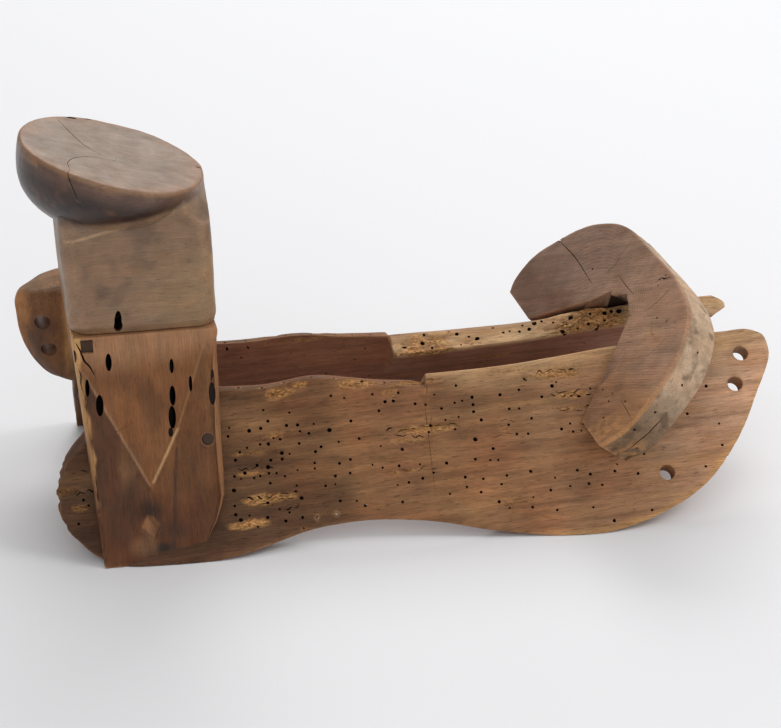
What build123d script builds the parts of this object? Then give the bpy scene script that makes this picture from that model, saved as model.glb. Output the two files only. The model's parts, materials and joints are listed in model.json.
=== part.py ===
"""Wooden saddle tree: two side bars, a two-legged front fork that carries a post with a broad round horn,
and a rear arch, all held together with wooden pegs.

Millimetres. +X runs to the rear of the saddle, +Y to its right-hand side and +Z up.
The origin is on the floor, at the bottom centre of the whole tree.
"""

import os
from math import cos, radians, sin, tan

from build123d import *

# ---- the outer faces of the two bars -------------------------------------------------------------
# Each bar is a plank whose outer face runs through a level line and leans more towards the rear.
line_half_width = 46.0  # the level line's distance from the centre plane
line_height = 96.0
lean_front = 33.0  # degrees from upright, at the front station
lean_rear = 48.0
station_front = -275.0
station_rear = 285.0

span_front, span_rear = -335.0, 345.0  # stations between which the outer faces are ruled

# ---- bar outline: x along the tree, and depth measured down the outer face from the level line -------
bar_front = -274.0
bar_rear = 288.5
front_loss_right = 30.0  # the right bar's front end is worn back by this much
rear_loss_right = 15.5
foot_x, foot_depth = -190.0, 120.0
waist_x, waist_depth = -42.0, 104.0
belly_x, belly_depth = 125.0, 134.0
sweep_x, sweep_depth = 225.0, 97.0  # where the rear end sweeps up
crest_x, crest_rise = 256.0, 18.0  # the rear end's highest point
seat_rise = 5.0  # the rear half's top edge just behind the step
step_x = 9.0  # where the stirrup strap recess ends
recess_drop = 11.0  # the top edge's drop in front of the step
hump_x, hump_rise = -74.0, 8.5  # the low hump in the recess
fork_seat_x, fork_seat_rise = -150.0, 5.0
bar_thickness = 15.0
rib_thickness = 25.0  # the thicker top behind the step
rib_depth = 12.0  # how far down the rib keeps its full thickness
rib_foot = 58.0  # where it has tapered into the plank
rib_end_x = 243.0
recess_lip = 5.0  # thickness left at the recess's top edge
recess_foot = 38.0  # how far down the recess reaches

# ---- lashing holes in the bars' rear ends: (x, depth) -----------------------------------------------
rigging_hole_radius = 6.0
rigging_holes = [(262.5, 0.5), (253.5, 25.0), (188.5, 90.5)]

# ---- fork ----------------------------------------------------------------------------------------------
seam_height = 157.0  # where the post sits on the legs
post_front, post_rear = -252.0, -146.0
post_half_width = 50.0
neck_height = 262.0
neck_front, neck_rear = -257.5, -146.5
neck_half_width = 48.0
post_corner = 14.0
tongue_half_width = 16.0
tongue_bottom = 128.0
foot_reach = 120.0  # outer face of a leg at the floor, from the centre plane
foot_height = 4.0  # the legs end just above the floor, the bars stand on it
leg_front_foot, leg_rear_foot = -242.0, -163.0
leg_rear_knee_x, leg_rear_knee_height = -149.0, 42.0
ear_front = -287.0  # the forward ear of the right leg
ear_root = -240.0  # how far back the ear is let into the leg
ear_top = 158.0
ear_sole = 66.0
ear_inside_top, ear_inside_sole = 44.0, 56.0  # its inner face, from the centre plane
ear_outside_top, ear_outside_sole = 66.0, 88.0
ear_hole_radius = 5.0
ear_holes = [(-268.0, 127.0), (-264.0, 98.0)]  # (x, height)
slot_width, slot_length = 3.6, 11.0
leg_slots = [(-226.0, 137.0), (-237.0, 112.0), (-180.0, 132.0), (-181.0, 112.0), (-168.0, 119.0)]
post_slot_x, post_slot_height, post_slot_depth = -218.0, 168.0, 25.0

# ---- horn ---------------------------------------------------------------------------------------------
horn_x = -213.0
horn_radius = 70.0
horn_girth_height = 275.0  # height of the horn's widest ring
horn_bowl_depth = 50.0
horn_top_height = 281.0  # where the top face crosses the horn's axis
horn_tilt = 15.0  # degrees, the front edge is the higher
horn_rim_radius = 68.0
horn_crown = 30.0
horn_edge_round = 5.0

# ---- rear arch ------------------------------------------------------------------------------------------
arch_x, arch_height = 217.0, 180.0  # the reference point of its front face, on the centre plane
arch_lean = 40.0  # degrees back from upright
arch_yaw = 5.0  # the right arm stands a little ahead of the left one
arch_thickness = 34.0
arch_crown_drop = 21.0  # crown below the reference point, measured in the face
arch_gullet_drop = 66.0
arch_left_reach, arch_left_drop = 122.0, 150.0
arch_left_inside = 71.0
arch_right_reach, arch_right_drop = 146.0, 130.0
arch_right_inside = 88.0

# ---- pegs -----------------------------------------------------------------------------------------------
peg_radius = 4.0
peg_fit = 0.05
cross_pegs = [(-240.0, 148.0), (-162.0, 148.0)]  # (x, height)
leg_pegs = [(-158.0, 33.0), (-205.0, 92.0)]  # (x, depth)
arch_pegs = [20.0, 45.0]  # depths
arch_peg_inset = 29.0  # behind the arch's front face
arch_peg_bite = 18.0  # how far they go into the arch
peg_flush = 0.4  # leg pegs stop this far under the leg's outer face

reach = 400.0  # longer than the tree, for cuts that go right through


def lean(x):
    """Lean of a bar's outer face at station x, in degrees from upright."""
    share = (x - station_front) / (station_rear - station_front)
    return lean_front + (lean_rear - lean_front) * share


def bar_point(x, depth, inward=0.0):
    """(y, z) of a point on the left bar: down the outer face by depth, then into the wood by inward."""
    angle = radians(lean(x))
    y = -(line_half_width + depth * sin(angle) - inward * cos(angle))
    return y, line_height - depth * cos(angle) - inward * sin(angle)


def bar_normal(x):
    """Outward normal of the left bar's outer face at station x."""
    angle = radians(lean(x))
    return Vector(0, -cos(angle), sin(angle))


def section(x, corners):
    """The face at station x through (y, z) corners."""
    with BuildSketch(Plane.YZ.offset(x)) as face:
        with BuildLine():
            Polyline(*corners, close=True)
        make_face()
    return face.sketch


def under_bar(rise, side=-1):
    """Faces at both spans' ends for everything under one bar's outer face, from rise above the level line."""
    corners = [(-rise, 0), (200, 0), (200, 160), (-rise, 160)]
    return [
        section(x, [(-side * y, z) for y, z in (bar_point(x, *corner) for corner in corners)])
        for x in (span_front, span_rear)
    ]


def bar_sections(x0, x1, corners_0, corners_1):
    """Faces at two stations through (depth, inward) corners, for a ruled loft."""
    return [
        section(x, [bar_point(x, depth, inward) for depth, inward in corners])
        for x, corners in ((x0, corners_0), (x1, corners_1))
    ]


def round_on_bar(x, depth, radius, inward, side=-1):
    """A disc square to one bar's outer face, inward under it."""
    y, z = bar_point(x, depth, inward)
    normal = bar_normal(x)
    with BuildSketch(Plane(origin=(x, -side * y, z), z_dir=(0, -side * normal.Y, normal.Z))) as disc:
        Circle(radius)
    return disc.sketch


def make_bar(front, rear, peg_places):
    """A bar, left-handed: a twisted plank cut to its outline, with a rib, a recess and its holes."""
    with BuildPart() as bar:
        plank = [(-60, 0), (190, 0), (190, bar_thickness), (-60, bar_thickness)]
        loft(bar_sections(span_front, span_rear, plank, plank), ruled=True)
        sunk = bar_thickness - 2
        rib = [(-60, sunk), (rib_foot, sunk), (rib_depth, rib_thickness), (-60, rib_thickness)]
        rib_tail = [(-60, sunk), (rib_foot, sunk), (rib_depth, bar_thickness), (-60, bar_thickness)]
        loft(bar_sections(step_x, rib_end_x, rib, rib_tail), ruled=True)
        recess = [(-60, recess_lip), (-12, recess_lip), (recess_foot, bar_thickness), (recess_foot, 90), (-60, 90)]
        loft(bar_sections(fork_seat_x, step_x, recess, recess), ruled=True, mode=Mode.SUBTRACT)
        for x0, top_0, x1, top_1 in (
            (step_x, -seat_rise, 150, -15),
            (150, -15, crest_x, -crest_rise + 0.5),
            (crest_x, -crest_rise + 0.5, rear - 9, -crest_rise + 4.5),
            (rear - 9, -crest_rise + 4.5, rear + 1, -4),
        ):
            over = [[(-90, -6), (top, -6), (top, 60), (-90, 60)] for top in (top_0, top_1)]
            loft(bar_sections(x0, x1, *over), ruled=True, mode=Mode.SUBTRACT)
        lower = [
            (front, 58),
            (front + 7, 88),
            (front + 28, 110),
            (foot_x, foot_depth),
            (foot_x + 47, foot_depth - 3),
            (waist_x - 38, waist_depth + 2),
            (waist_x, waist_depth),
            (waist_x + 38, waist_depth + 4),
            (belly_x - 53, belly_depth - 7),
            (belly_x, belly_depth),
            (belly_x + 35, belly_depth - 5),
            (sweep_x, sweep_depth),
            (rear - 33, sweep_depth - 30),
            (rear - 15, 34),
            (rear - 3, 6),
        ]
        upper = [
            (rear - 3, 6),
            (rear, -5),
            (rear - 9, 4 - crest_rise),
            (crest_x, -crest_rise),
            (170, -16),
            (72, -1 - seat_rise),
            (step_x, -seat_rise),
        ]
        front_top = [
            (step_x, recess_drop - seat_rise),
            (-29, 0),
            (hump_x, -hump_rise),
            (-108, -4),
            (fork_seat_x, -fork_seat_rise),
            (front + 49, -3),
            (front + 18, 10),
            (front + 4, 32),
            (front, 58),
        ]
        with BuildSketch(Plane.XZ):
            with BuildLine():
                edges = [[(x, bar_point(x, depth)[1]) for x, depth in run] for run in (lower, upper, front_top)]
                Spline(*edges[0])
                Spline(*edges[1])
                Line(edges[1][-1], edges[2][0])
                Spline(*edges[2])
            make_face()
        extrude(amount=reach, both=True, mode=Mode.INTERSECT)
        with Locations((0, 0, reach / 2)):
            Box(2 * reach, 2 * reach, reach, mode=Mode.INTERSECT)  # worn flat where it stands on the floor
        for x, depth in rigging_holes:
            extrude(round_on_bar(x, depth, rigging_hole_radius, 60), amount=90, mode=Mode.SUBTRACT)
        for x, depth in leg_pegs + peg_places:
            extrude(round_on_bar(x, depth, peg_radius + peg_fit, 60), amount=90, mode=Mode.SUBTRACT)
    return bar


def arch_peg_x(depth, side):
    """Station of an arch peg, behind the arch's front face."""
    y, z = bar_point(arch_x - 65, depth)
    front = arch_x - (arch_height - z) * tan(radians(arch_lean)) + side * y * tan(radians(arch_yaw))
    return front + arch_peg_inset


def make_ear():
    """The forward ear of a leg, left-handed: a steep wedge of wood cut to a rounded lobe."""
    with BuildPart() as ear:
        with BuildSketch(Plane.YZ.offset(ear_front - 10)):
            with BuildLine():
                Polyline(
                    (-ear_inside_top, ear_top + 5),
                    (-ear_outside_top, ear_top + 5),
                    (-ear_outside_sole, ear_sole),
                    (-ear_inside_sole, ear_sole),
                    close=True,
                )
            make_face()
        extrude(amount=ear_root - ear_front + 10)
        with BuildSketch(Plane.XZ):
            with BuildLine():
                lobe = Spline(
                    (ear_root, ear_sole),
                    (ear_front + 22, ear_sole + 5),
                    (ear_front + 6, ear_sole + 26),
                    (ear_front, ear_top - 18),
                    (ear_front + 5, ear_top - 3),
                    (ear_front + 20, ear_top),
                    (ear_root, ear_top - 3),
                )
                Line(lobe @ 1, lobe @ 0)
            make_face()
        extrude(amount=reach, both=True, mode=Mode.INTERSECT)
    return ear


def make_leg(ear=None):
    """A fork leg, left-handed: it seats on the bar's outer face and flanks the post's tongue."""
    with BuildPart() as leg:
        with BuildSketch(Plane.YZ.offset(post_front)):
            with BuildLine():
                Polyline(
                    (-tongue_half_width, seam_height),
                    (-post_half_width, seam_height),
                    (-foot_reach, 0),
                    (-foot_reach + 60, 0),
                    (-tongue_half_width, line_height),
                    close=True,
                )
            make_face()
        extrude(amount=leg_front_foot - post_front + 100)
        with BuildSketch(Plane.XZ):
            with BuildLine():
                back = Polyline(
                    (leg_front_foot, foot_height),
                    (post_front, seam_height),
                    (post_rear, seam_height),
                    (leg_rear_knee_x, leg_rear_knee_height),
                )
                heel = ThreePointArc(
                    back @ 1,
                    (leg_rear_knee_x - 4, leg_rear_knee_height / 2),
                    (leg_rear_foot, foot_height),
                )
                Line(heel @ 1, back @ 0)
            make_face()
        extrude(amount=reach, both=True, mode=Mode.INTERSECT)
        if ear:
            add(ear.part)
            for x, height in ear_holes:
                with BuildSketch(Plane.XZ):
                    with Locations((x, height)):
                        Circle(ear_hole_radius)
                extrude(amount=reach, mode=Mode.SUBTRACT)
        loft(under_bar(50), ruled=True, mode=Mode.SUBTRACT)
        for x, height in leg_slots:
            y = -(post_half_width + (seam_height - height) * leg_slope)
            with BuildSketch(Plane(origin=(x, y, height), x_dir=(1, 0, 0), z_dir=leg_normal)):
                SlotOverall(slot_length, slot_width, rotation=90)
            extrude(amount=60, both=True, mode=Mode.SUBTRACT)
        for x, height in cross_pegs:
            with BuildSketch(Plane.XZ):
                with Locations((x, height)):
                    Circle(peg_radius + peg_fit)
            extrude(amount=reach, mode=Mode.SUBTRACT)
        for x, depth in leg_pegs:
            extrude(round_on_bar(x, depth, peg_radius + peg_fit, 60), amount=140, mode=Mode.SUBTRACT)
    return leg


leg_slope = (foot_reach - post_half_width) / seam_height
leg_normal = Vector(0, -1, leg_slope).normalized()


def leg_skin(x, depth):
    """Distance along the bar's normal from its outer face to the leg's outer face."""
    y, z = bar_point(x, depth)
    normal = bar_normal(x)
    gap = post_half_width + (seam_height - z) * leg_slope + y
    return gap / (leg_slope * normal.Z - normal.Y)


def make_pegs(places):
    """Round pegs, left-handed, from (station, depth, inner length, outer length)."""
    with BuildPart() as pegs:
        for x, depth, inner, outer in places:
            extrude(round_on_bar(x, depth, peg_radius, inner), amount=inner + outer)
        chamfer(pegs.edges().filter_by(GeomType.CIRCLE), 0.6)
    return pegs


def save(shape, label):
    """Writes one named piece."""
    shape.label = label
    export_step(shape, f"parts/{label}.step")


os.makedirs("parts", exist_ok=True)

# ---- bars -----------------------------------------------------------------------------------------------
left_arch_pegs = [(arch_peg_x(depth, -1), depth) for depth in arch_pegs]
right_arch_pegs = [(arch_peg_x(depth, 1), depth) for depth in arch_pegs]
left_bar = make_bar(bar_front, bar_rear, left_arch_pegs)
right_bar = make_bar(bar_front + front_loss_right, bar_rear - rear_loss_right, right_arch_pegs)
save(left_bar.part, "left_bar")
save(mirror(right_bar.part, about=Plane.XZ), "right_bar")

# ---- fork legs ------------------------------------------------------------------------------------------
left_leg = make_leg()
right_leg = make_leg(make_ear())
save(left_leg.part, "left_fork_leg")
save(mirror(right_leg.part, about=Plane.XZ), "right_fork_leg")

# ---- arch: its outline in the leaning front face, x to the left and y up --------------------------------
lean_a, yaw_a = radians(arch_lean), radians(arch_yaw)
arch_face = Plane(
    origin=(arch_x, 0, arch_height),
    x_dir=(sin(yaw_a), -cos(yaw_a), 0),
    z_dir=(-cos(lean_a) * cos(yaw_a), -cos(lean_a) * sin(yaw_a), sin(lean_a)),
)
with BuildPart() as arch:
    with BuildSketch(arch_face):
        with BuildLine():
            crown = Spline(
                (-arch_right_reach, -arch_right_drop + 26),
                (-arch_right_reach + 20, -74),
                (-98, -43),
                (-55, -arch_crown_drop - 3),
                (-12, -arch_crown_drop),
                (40, -arch_crown_drop - 2),
                (84, -arch_crown_drop - 13),
                (110, -60),
                (arch_left_reach - 1, -95),
                (arch_left_reach, -arch_left_drop + 18),
            )
            Polyline(
                crown @ 1,
                (arch_left_reach - 14, -arch_left_drop),
                (arch_left_inside, -arch_left_drop + 2),
                (27, -arch_gullet_drop),
                (-11, -arch_gullet_drop + 1),
                (-arch_right_inside, -arch_right_drop - 3),
                (-arch_right_reach + 4, -arch_right_drop),
                crown @ 0,
            )
        make_face()
    extrude(amount=-arch_thickness)
    fillet(arch.edges().filter_by(Axis(origin=(0, 0, 0), direction=arch_face.z_dir)), 4)
    for side in (-1, 1):
        loft(under_bar(48, side), ruled=True, mode=Mode.SUBTRACT)
    for x, depth in left_arch_pegs:
        hole = round_on_bar(x, depth, peg_radius + peg_fit, 30)
        extrude(hole, amount=30 + arch_peg_bite + 1, mode=Mode.SUBTRACT)
    for x, depth in right_arch_pegs:
        hole = round_on_bar(x, depth, peg_radius + peg_fit, 30, side=1)
        extrude(hole, amount=30 + arch_peg_bite + 1, mode=Mode.SUBTRACT)
save(arch.part, "cantle")

# ---- post and horn, one piece of wood ------------------------------------------------------------------
post_middle = (post_front + post_rear) / 2
neck_middle = (neck_front + neck_rear) / 2
with BuildPart() as post:
    with BuildSketch(Plane.XY.offset(seam_height)):
        with Locations((post_middle, 0)):
            RectangleRounded(post_rear - post_front, 2 * post_half_width, post_corner)
    with BuildSketch(Plane.XY.offset(neck_height)):
        with Locations((neck_middle, 0)):
            RectangleRounded(neck_rear - neck_front, 2 * neck_half_width, post_corner)
    loft()
    with BuildSketch(Plane.XY.offset(tongue_bottom)):
        with Locations((post_middle, 0)):
            Rectangle(post_rear - post_front - 2, 2 * tongue_half_width)
    extrude(amount=seam_height - tongue_bottom + 1)
    with BuildSketch(Plane.XZ):
        with BuildLine():
            side = Spline(
                (horn_x, horn_girth_height - horn_bowl_depth),
                (horn_x + 0.72 * horn_radius, horn_girth_height - 0.66 * horn_bowl_depth),
                (horn_x + horn_radius, horn_girth_height),
                (horn_x + horn_rim_radius, horn_girth_height + horn_crown),
                tangents=[(1, 0), (-0.15, 1)],
            )
            Polyline(side @ 1, (horn_x, horn_girth_height + horn_crown), side @ 0)
        make_face()
    revolve(axis=Axis((horn_x, 0, 0), (0, 0, 1)))
    tilt = radians(horn_tilt)
    top_face = Plane(origin=(horn_x, 0, horn_top_height), z_dir=(sin(tilt), 0, cos(tilt)))
    split(bisect_by=top_face, keep=Keep.BOTTOM)
    rim = post.faces().sort_by(Axis(origin=(0, 0, 0), direction=top_face.z_dir))[-1]
    fillet(rim.edges(), horn_edge_round)
    for x, height in cross_pegs:
        with BuildSketch(Plane.XZ):
            with Locations((x, height)):
                Circle(peg_radius + peg_fit)
        extrude(amount=reach, both=True, mode=Mode.SUBTRACT)
    with BuildSketch(Plane.XZ.offset(post_half_width)):
        with Locations((post_slot_x, post_slot_height)):
            SlotOverall(slot_length, slot_width, rotation=90)
    extrude(amount=-post_slot_depth, mode=Mode.SUBTRACT)
save(post.part, "horn_post")

# ---- pegs -----------------------------------------------------------------------------------------------
with BuildPart() as fork_pegs:
    for x, height in cross_pegs:
        half_length = post_half_width + (seam_height - height - peg_radius) * leg_slope - peg_flush
        with BuildSketch(Plane.XZ):
            with Locations((x, height)):
                Circle(peg_radius)
        extrude(amount=half_length, both=True)
    chamfer(fork_pegs.edges().filter_by(GeomType.CIRCLE), 0.6)
save(fork_pegs.part, "fork_cross_pegs")

leg_peg_lengths = [
    (x, depth, recess_lip + 4.0, leg_skin(x, depth) - peg_radius * sin(radians(lean(x))) - peg_flush)
    for x, depth in leg_pegs
]
save(make_pegs(leg_peg_lengths).part, "left_leg_pegs")
save(mirror(make_pegs(leg_peg_lengths).part, about=Plane.XZ), "right_leg_pegs")

left_lengths = [(x, depth, bar_thickness, arch_peg_bite) for x, depth in left_arch_pegs]
right_lengths = [(x, depth, bar_thickness, arch_peg_bite) for x, depth in right_arch_pegs]
save(make_pegs(left_lengths).part, "left_cantle_pegs")
save(mirror(make_pegs(right_lengths).part, about=Plane.XZ), "right_cantle_pegs")
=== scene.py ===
# %% [markdown]
# # An old wooden saddle tree
# A saddle tree is the wooden skeleton of a riding saddle. Two twisted boards, the bars, lie along the horse's back.
# A fork in front carries a post with a broad round horn, and a leaning arch, the cantle, closes the seat behind.
# This one has lost its rawhide cover, and beetles have bored it through for many years.
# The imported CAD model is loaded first. It fixes every size, so nothing below is fitted by eye.

# %% load the frame
import json

import bmesh
import bpy
import numpy as np
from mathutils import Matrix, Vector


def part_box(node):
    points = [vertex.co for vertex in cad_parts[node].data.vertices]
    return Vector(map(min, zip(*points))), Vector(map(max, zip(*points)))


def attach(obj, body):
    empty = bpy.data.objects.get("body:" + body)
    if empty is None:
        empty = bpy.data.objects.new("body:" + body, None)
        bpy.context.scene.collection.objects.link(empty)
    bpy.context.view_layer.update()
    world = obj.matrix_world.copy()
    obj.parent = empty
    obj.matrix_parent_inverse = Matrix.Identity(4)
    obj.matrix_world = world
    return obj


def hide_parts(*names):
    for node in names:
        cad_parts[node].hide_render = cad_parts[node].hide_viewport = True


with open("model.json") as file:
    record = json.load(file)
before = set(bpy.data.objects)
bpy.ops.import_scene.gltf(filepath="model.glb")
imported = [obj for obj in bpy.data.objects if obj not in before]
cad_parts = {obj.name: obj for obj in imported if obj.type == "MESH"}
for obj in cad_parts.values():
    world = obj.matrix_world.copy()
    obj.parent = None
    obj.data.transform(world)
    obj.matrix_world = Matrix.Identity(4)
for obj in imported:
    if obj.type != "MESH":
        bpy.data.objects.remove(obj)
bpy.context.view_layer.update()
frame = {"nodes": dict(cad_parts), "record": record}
mounts = {m["name"]: m for m in frame["record"]["mounts"]}

# %% [markdown]
# ## Small tools
# Lengths in the shape functions are millimetres, because a woodworker measures so, and the mesh maker turns them into
# metres. A smooth step and a smooth curve through given points are all the drawing tools that the outlines need.

# %% drawing tools
def step(low, high, x):
    """0 below low, 1 above high, and between them 3t^2 - 2t^3, where t is the share of the way."""
    t = np.clip((np.asarray(x, float) - low) / (high - low), 0, 1)
    return t * t * (3 - 2 * t)


def curve(knots, t):
    """A smooth line through (t, value...) knots: cubics sloped at each knot like the chord of its neighbours."""
    k = np.asarray(knots, float)
    slope = np.gradient(k[:, 1:], k[:, 0], axis=0)
    i = np.clip(np.searchsorted(k[:, 0], t, side="right") - 1, 0, len(k) - 2)
    h = (k[i + 1, 0] - k[i, 0])[..., None]
    s = (np.asarray(t)[..., None] - k[i, 0][..., None]) / h
    out = (2 * s**3 - 3 * s**2 + 1) * k[i, 1:] + (s**3 - 2 * s**2 + s) * h * slope[i]
    out = out + (3 * s**2 - 2 * s**3) * k[i + 1, 1:] + (s**3 - s**2) * h * slope[i + 1]
    return out[..., 0] if out.shape[-1] == 1 else out


def evenly(n):
    """A row of n even shares, from 0 up to just before 1."""
    return np.linspace(0, 1, n, endpoint=False)[None]


def path(points, count=1500):
    """A smooth line through points, measured by the chords between them, as count points."""
    p = np.asarray(points, float)
    run = np.r_[0, np.cumsum(np.linalg.norm(np.diff(p, axis=0), axis=1))]
    return curve(np.c_[run, p], np.linspace(0, run[-1], count))


# %% [markdown]
# ## Noise
# Old wood is never even. Value noise gives each corner of a lattice a number from an integer hash and blends between
# the corners, so the same place always gets the same number. Several sizes added together make the roughness of wood,
# and lattice cells that are long one way make it follow the grain.

# %% noise on whole arrays
def hashed(ix, iy, iz, seed):
    """A number from 0 to 1 for each lattice corner: multiply, add, fold the high bits down and multiply again."""
    h = (ix * 374761393 + iy * 668265263 + iz * 1442695041 + seed * 974634777) & 0xFFFFFFFF
    h = ((h ^ (h >> 13)) * 1274126177) & 0xFFFFFFFF
    return ((h ^ (h >> 16)) & 0xFFFF) / 65535.0


def noise(p, size, seed=0):
    """-1 to 1: the eight corner numbers of a point's cell, blended by 3t^2 - 2t^3 along each axis."""
    q = np.asarray(p, float) / np.asarray(size, float)
    cell = np.floor(q).astype(np.int64)
    t = q - cell
    t = t * t * (3 - 2 * t)
    total = np.zeros(q.shape[:-1])
    for corner in range(8):
        bit = np.array([corner & 1, corner >> 1 & 1, corner >> 2 & 1])
        weight = np.prod(np.where(bit, t, 1 - t), axis=-1)
        total += weight * hashed(*np.moveaxis(cell + bit, -1, 0), seed)
    return 2 * total - 1


def rough(p, size, layers=3, seed=0):
    """Noise of one size, plus half as much at half the size, and so on."""
    size = np.asarray(size, float)
    return sum(noise(p, size / 2**k, seed + 17 * k) / 2**k for k in range(layers))


# %% [markdown]
# ## From a grid to a mesh
# Every wooden piece here is a skin: a row of closed loops, each loop one slice through the piece. Rings that shrink to
# a centre point close both ends. Softening each loop along itself rounds the long edges, as hands and straps do.

# %% grids, skins and cuts
def soften(rows, times=2):
    """Each point becomes a quarter of each neighbour in its loop plus half of itself, times over."""
    for _ in range(times):
        rows = 0.5 * rows + 0.25 * (np.roll(rows, 1, axis=1) + np.roll(rows, -1, axis=1))
    return rows


def close_ends(rows, rings=(0.8, 0.5, 0.22)):
    """Adds rings at both ends: the last loop drawn in towards its middle by each share."""
    first, last = rows[0], rows[-1]
    cap = lambda loop, share: loop.mean(0) + share * (loop - loop.mean(0))
    front = [cap(first, share) for share in reversed(rings)]
    back = [cap(last, share) for share in rings]
    return np.concatenate([front, rows, back])


def outward(rows):
    """Unit normals of a skin: the cross product of its two grid directions, turned away from each loop's middle."""
    across = np.roll(rows, -1, axis=1) - np.roll(rows, 1, axis=1)
    normal = np.cross(np.gradient(rows, axis=0), across)
    normal /= np.linalg.norm(normal, axis=2, keepdims=True) + 1e-9
    middle = rows.mean(axis=1, keepdims=True)
    return normal * np.sign(np.sum(normal * (rows - middle)))


def mesh_object(name, points, faces):
    """A Blender object from points in millimetres, stored in metres, and faces."""
    mesh = bpy.data.meshes.new(name)
    mesh.from_pydata((np.asarray(points) * 0.001).tolist(), [], faces)
    mesh.update()
    piece = bpy.data.objects.new(name, mesh)
    bpy.context.scene.collection.objects.link(piece)
    return piece


def skin(name, rows):
    """A closed mesh from loops: quads between neighbouring loops, and a fan to a middle point at both ends."""
    count, around = rows.shape[:2]
    points = np.vstack([rows.reshape(-1, 3), rows[0].mean(0), rows[-1].mean(0)])
    i, j = np.meshgrid(np.arange(count - 1), np.arange(around), indexing="ij")
    nxt = (j + 1) % around
    here, beyond = i * around, (i + 1) * around
    quads = np.stack([here + j, here + nxt, beyond + nxt, beyond + j], -1).reshape(-1, 4)
    loop = np.arange(around)
    turn = (loop + 1) % around
    end, last = len(points) - 1, (count - 1) * around
    first_fan = np.stack([np.full(around, end - 1), turn, loop], -1)
    last_fan = np.stack([np.full(around, end), last + loop, last + turn], -1)
    a, b, c = (points[quads[:, k]] for k in (0, 1, 2))
    d = points[quads[:, 3]]
    volume = np.sum(a * np.cross(b, c)) + np.sum(a * np.cross(c, d))
    faces = quads.tolist() + first_fan.tolist() + last_fan.tolist()
    if volume < 0:
        faces = [f[::-1] for f in faces]
    return mesh_object(name, points, faces)


def tag(piece, value):
    """Gives all points the same number called cut, unless they have one. A cut passes it on to its walls."""
    if "cut" not in piece.data.attributes:
        numbers = piece.data.attributes.new("cut", "FLOAT", "POINT")
        numbers.data.foreach_set("value", np.full(len(piece.data.vertices), value, np.float32))


def combine(piece, tool, operation="DIFFERENCE"):
    """Cuts a tool out of a piece, or joins it on, and keeps only the result's mesh."""
    tag(piece, 0.0)
    tag(tool, 1.0 if operation == "DIFFERENCE" else 0.0)
    change = piece.modifiers.new("carve", "BOOLEAN")
    change.operation, change.solver, change.object = operation, "MANIFOLD", tool
    bpy.context.view_layer.update()
    seen = piece.evaluated_get(bpy.context.evaluated_depsgraph_get())
    result = bpy.data.meshes.new_from_object(seen)
    old = piece.data
    piece.modifiers.clear()
    piece.data = result
    result.name = piece.name
    bpy.data.meshes.remove(old)
    bpy.data.objects.remove(tool)
    return piece


def bundle(tools):
    """Several tools as one, so that a single cut removes them all."""
    work = bmesh.new()
    for tool in tools:
        work.from_mesh(tool.data)
        bpy.data.objects.remove(tool)
    mesh = bpy.data.meshes.new("bundle")
    work.to_mesh(mesh)
    work.free()
    piece = bpy.data.objects.new("bundle", mesh)
    bpy.context.scene.collection.objects.link(piece)
    return piece


def points_of(piece):
    """All of a mesh's points, in millimetres."""
    flat = np.empty(len(piece.data.vertices) * 3, np.float32)
    piece.data.vertices.foreach_get("co", flat)
    return flat.reshape(-1, 3).astype(float) * 1000


# %% [markdown]
# ## Bores, slots and cracks
# Holes are cut for real, so light falls into them from every side. A borer is a bundle of small tubes, each a ring of
# points carried along its own axis. A crack is a thin wedge carried along a line on the surface. One cut removes a
# whole bundle at once.

# %% cutting tools
def bores(centres, axes, radii, lengths, sides=10, flat=None):
    """Closed tubes: ring points are centre + radius (cos, sin) across the axis, at both ends of each length.
    flat, if given, is (direction, how much longer the ring is along it), for slots."""
    c, a = np.atleast_2d(centres).astype(float), np.atleast_2d(axes).astype(float)
    a = a / np.linalg.norm(a, axis=1, keepdims=True)
    n = len(c)
    guide = np.where(np.abs(a[:, 2:]) > 0.8, [[1.0, 0, 0]], [[0, 0, 1.0]])
    guide = guide if flat is None else np.tile(flat[0], (n, 1))
    v = guide - a * np.sum(guide * a, axis=1, keepdims=True)
    v /= np.linalg.norm(v, axis=1, keepdims=True)
    u = np.cross(v, a)
    turn = np.linspace(0, 2 * np.pi, sides, endpoint=False)
    r = np.broadcast_to(radii, n)[:, None, None]
    grow = np.ones(n)[:, None, None] if flat is None else np.broadcast_to(flat[1], n)[:, None, None]
    ring = r * (np.cos(turn)[None, :, None] * u[:, None] + grow * np.sin(turn)[None, :, None] * v[:, None])
    half = np.broadcast_to(lengths, n)[:, None, None] / 2 * a[:, None]
    points = np.stack([c[:, None] + ring - half, c[:, None] + ring + half], 1).reshape(-1, 3)
    faces = []
    for k in range(n):
        low, high = k * 2 * sides, k * 2 * sides + sides
        faces.append([low + s for s in range(sides)][::-1])
        faces.append([high + s for s in range(sides)])
        faces += [[low + s, low + (s + 1) % sides, high + (s + 1) % sides, high + s] for s in range(sides)]
    return turned_out(mesh_object("borer", points, faces))


def turned_out(tool):
    """Turns every face of a tool outwards."""
    work = bmesh.new()
    work.from_mesh(tool.data)
    bmesh.ops.recalc_face_normals(work, faces=work.faces)
    work.to_mesh(tool.data)
    work.free()
    return tool


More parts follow.
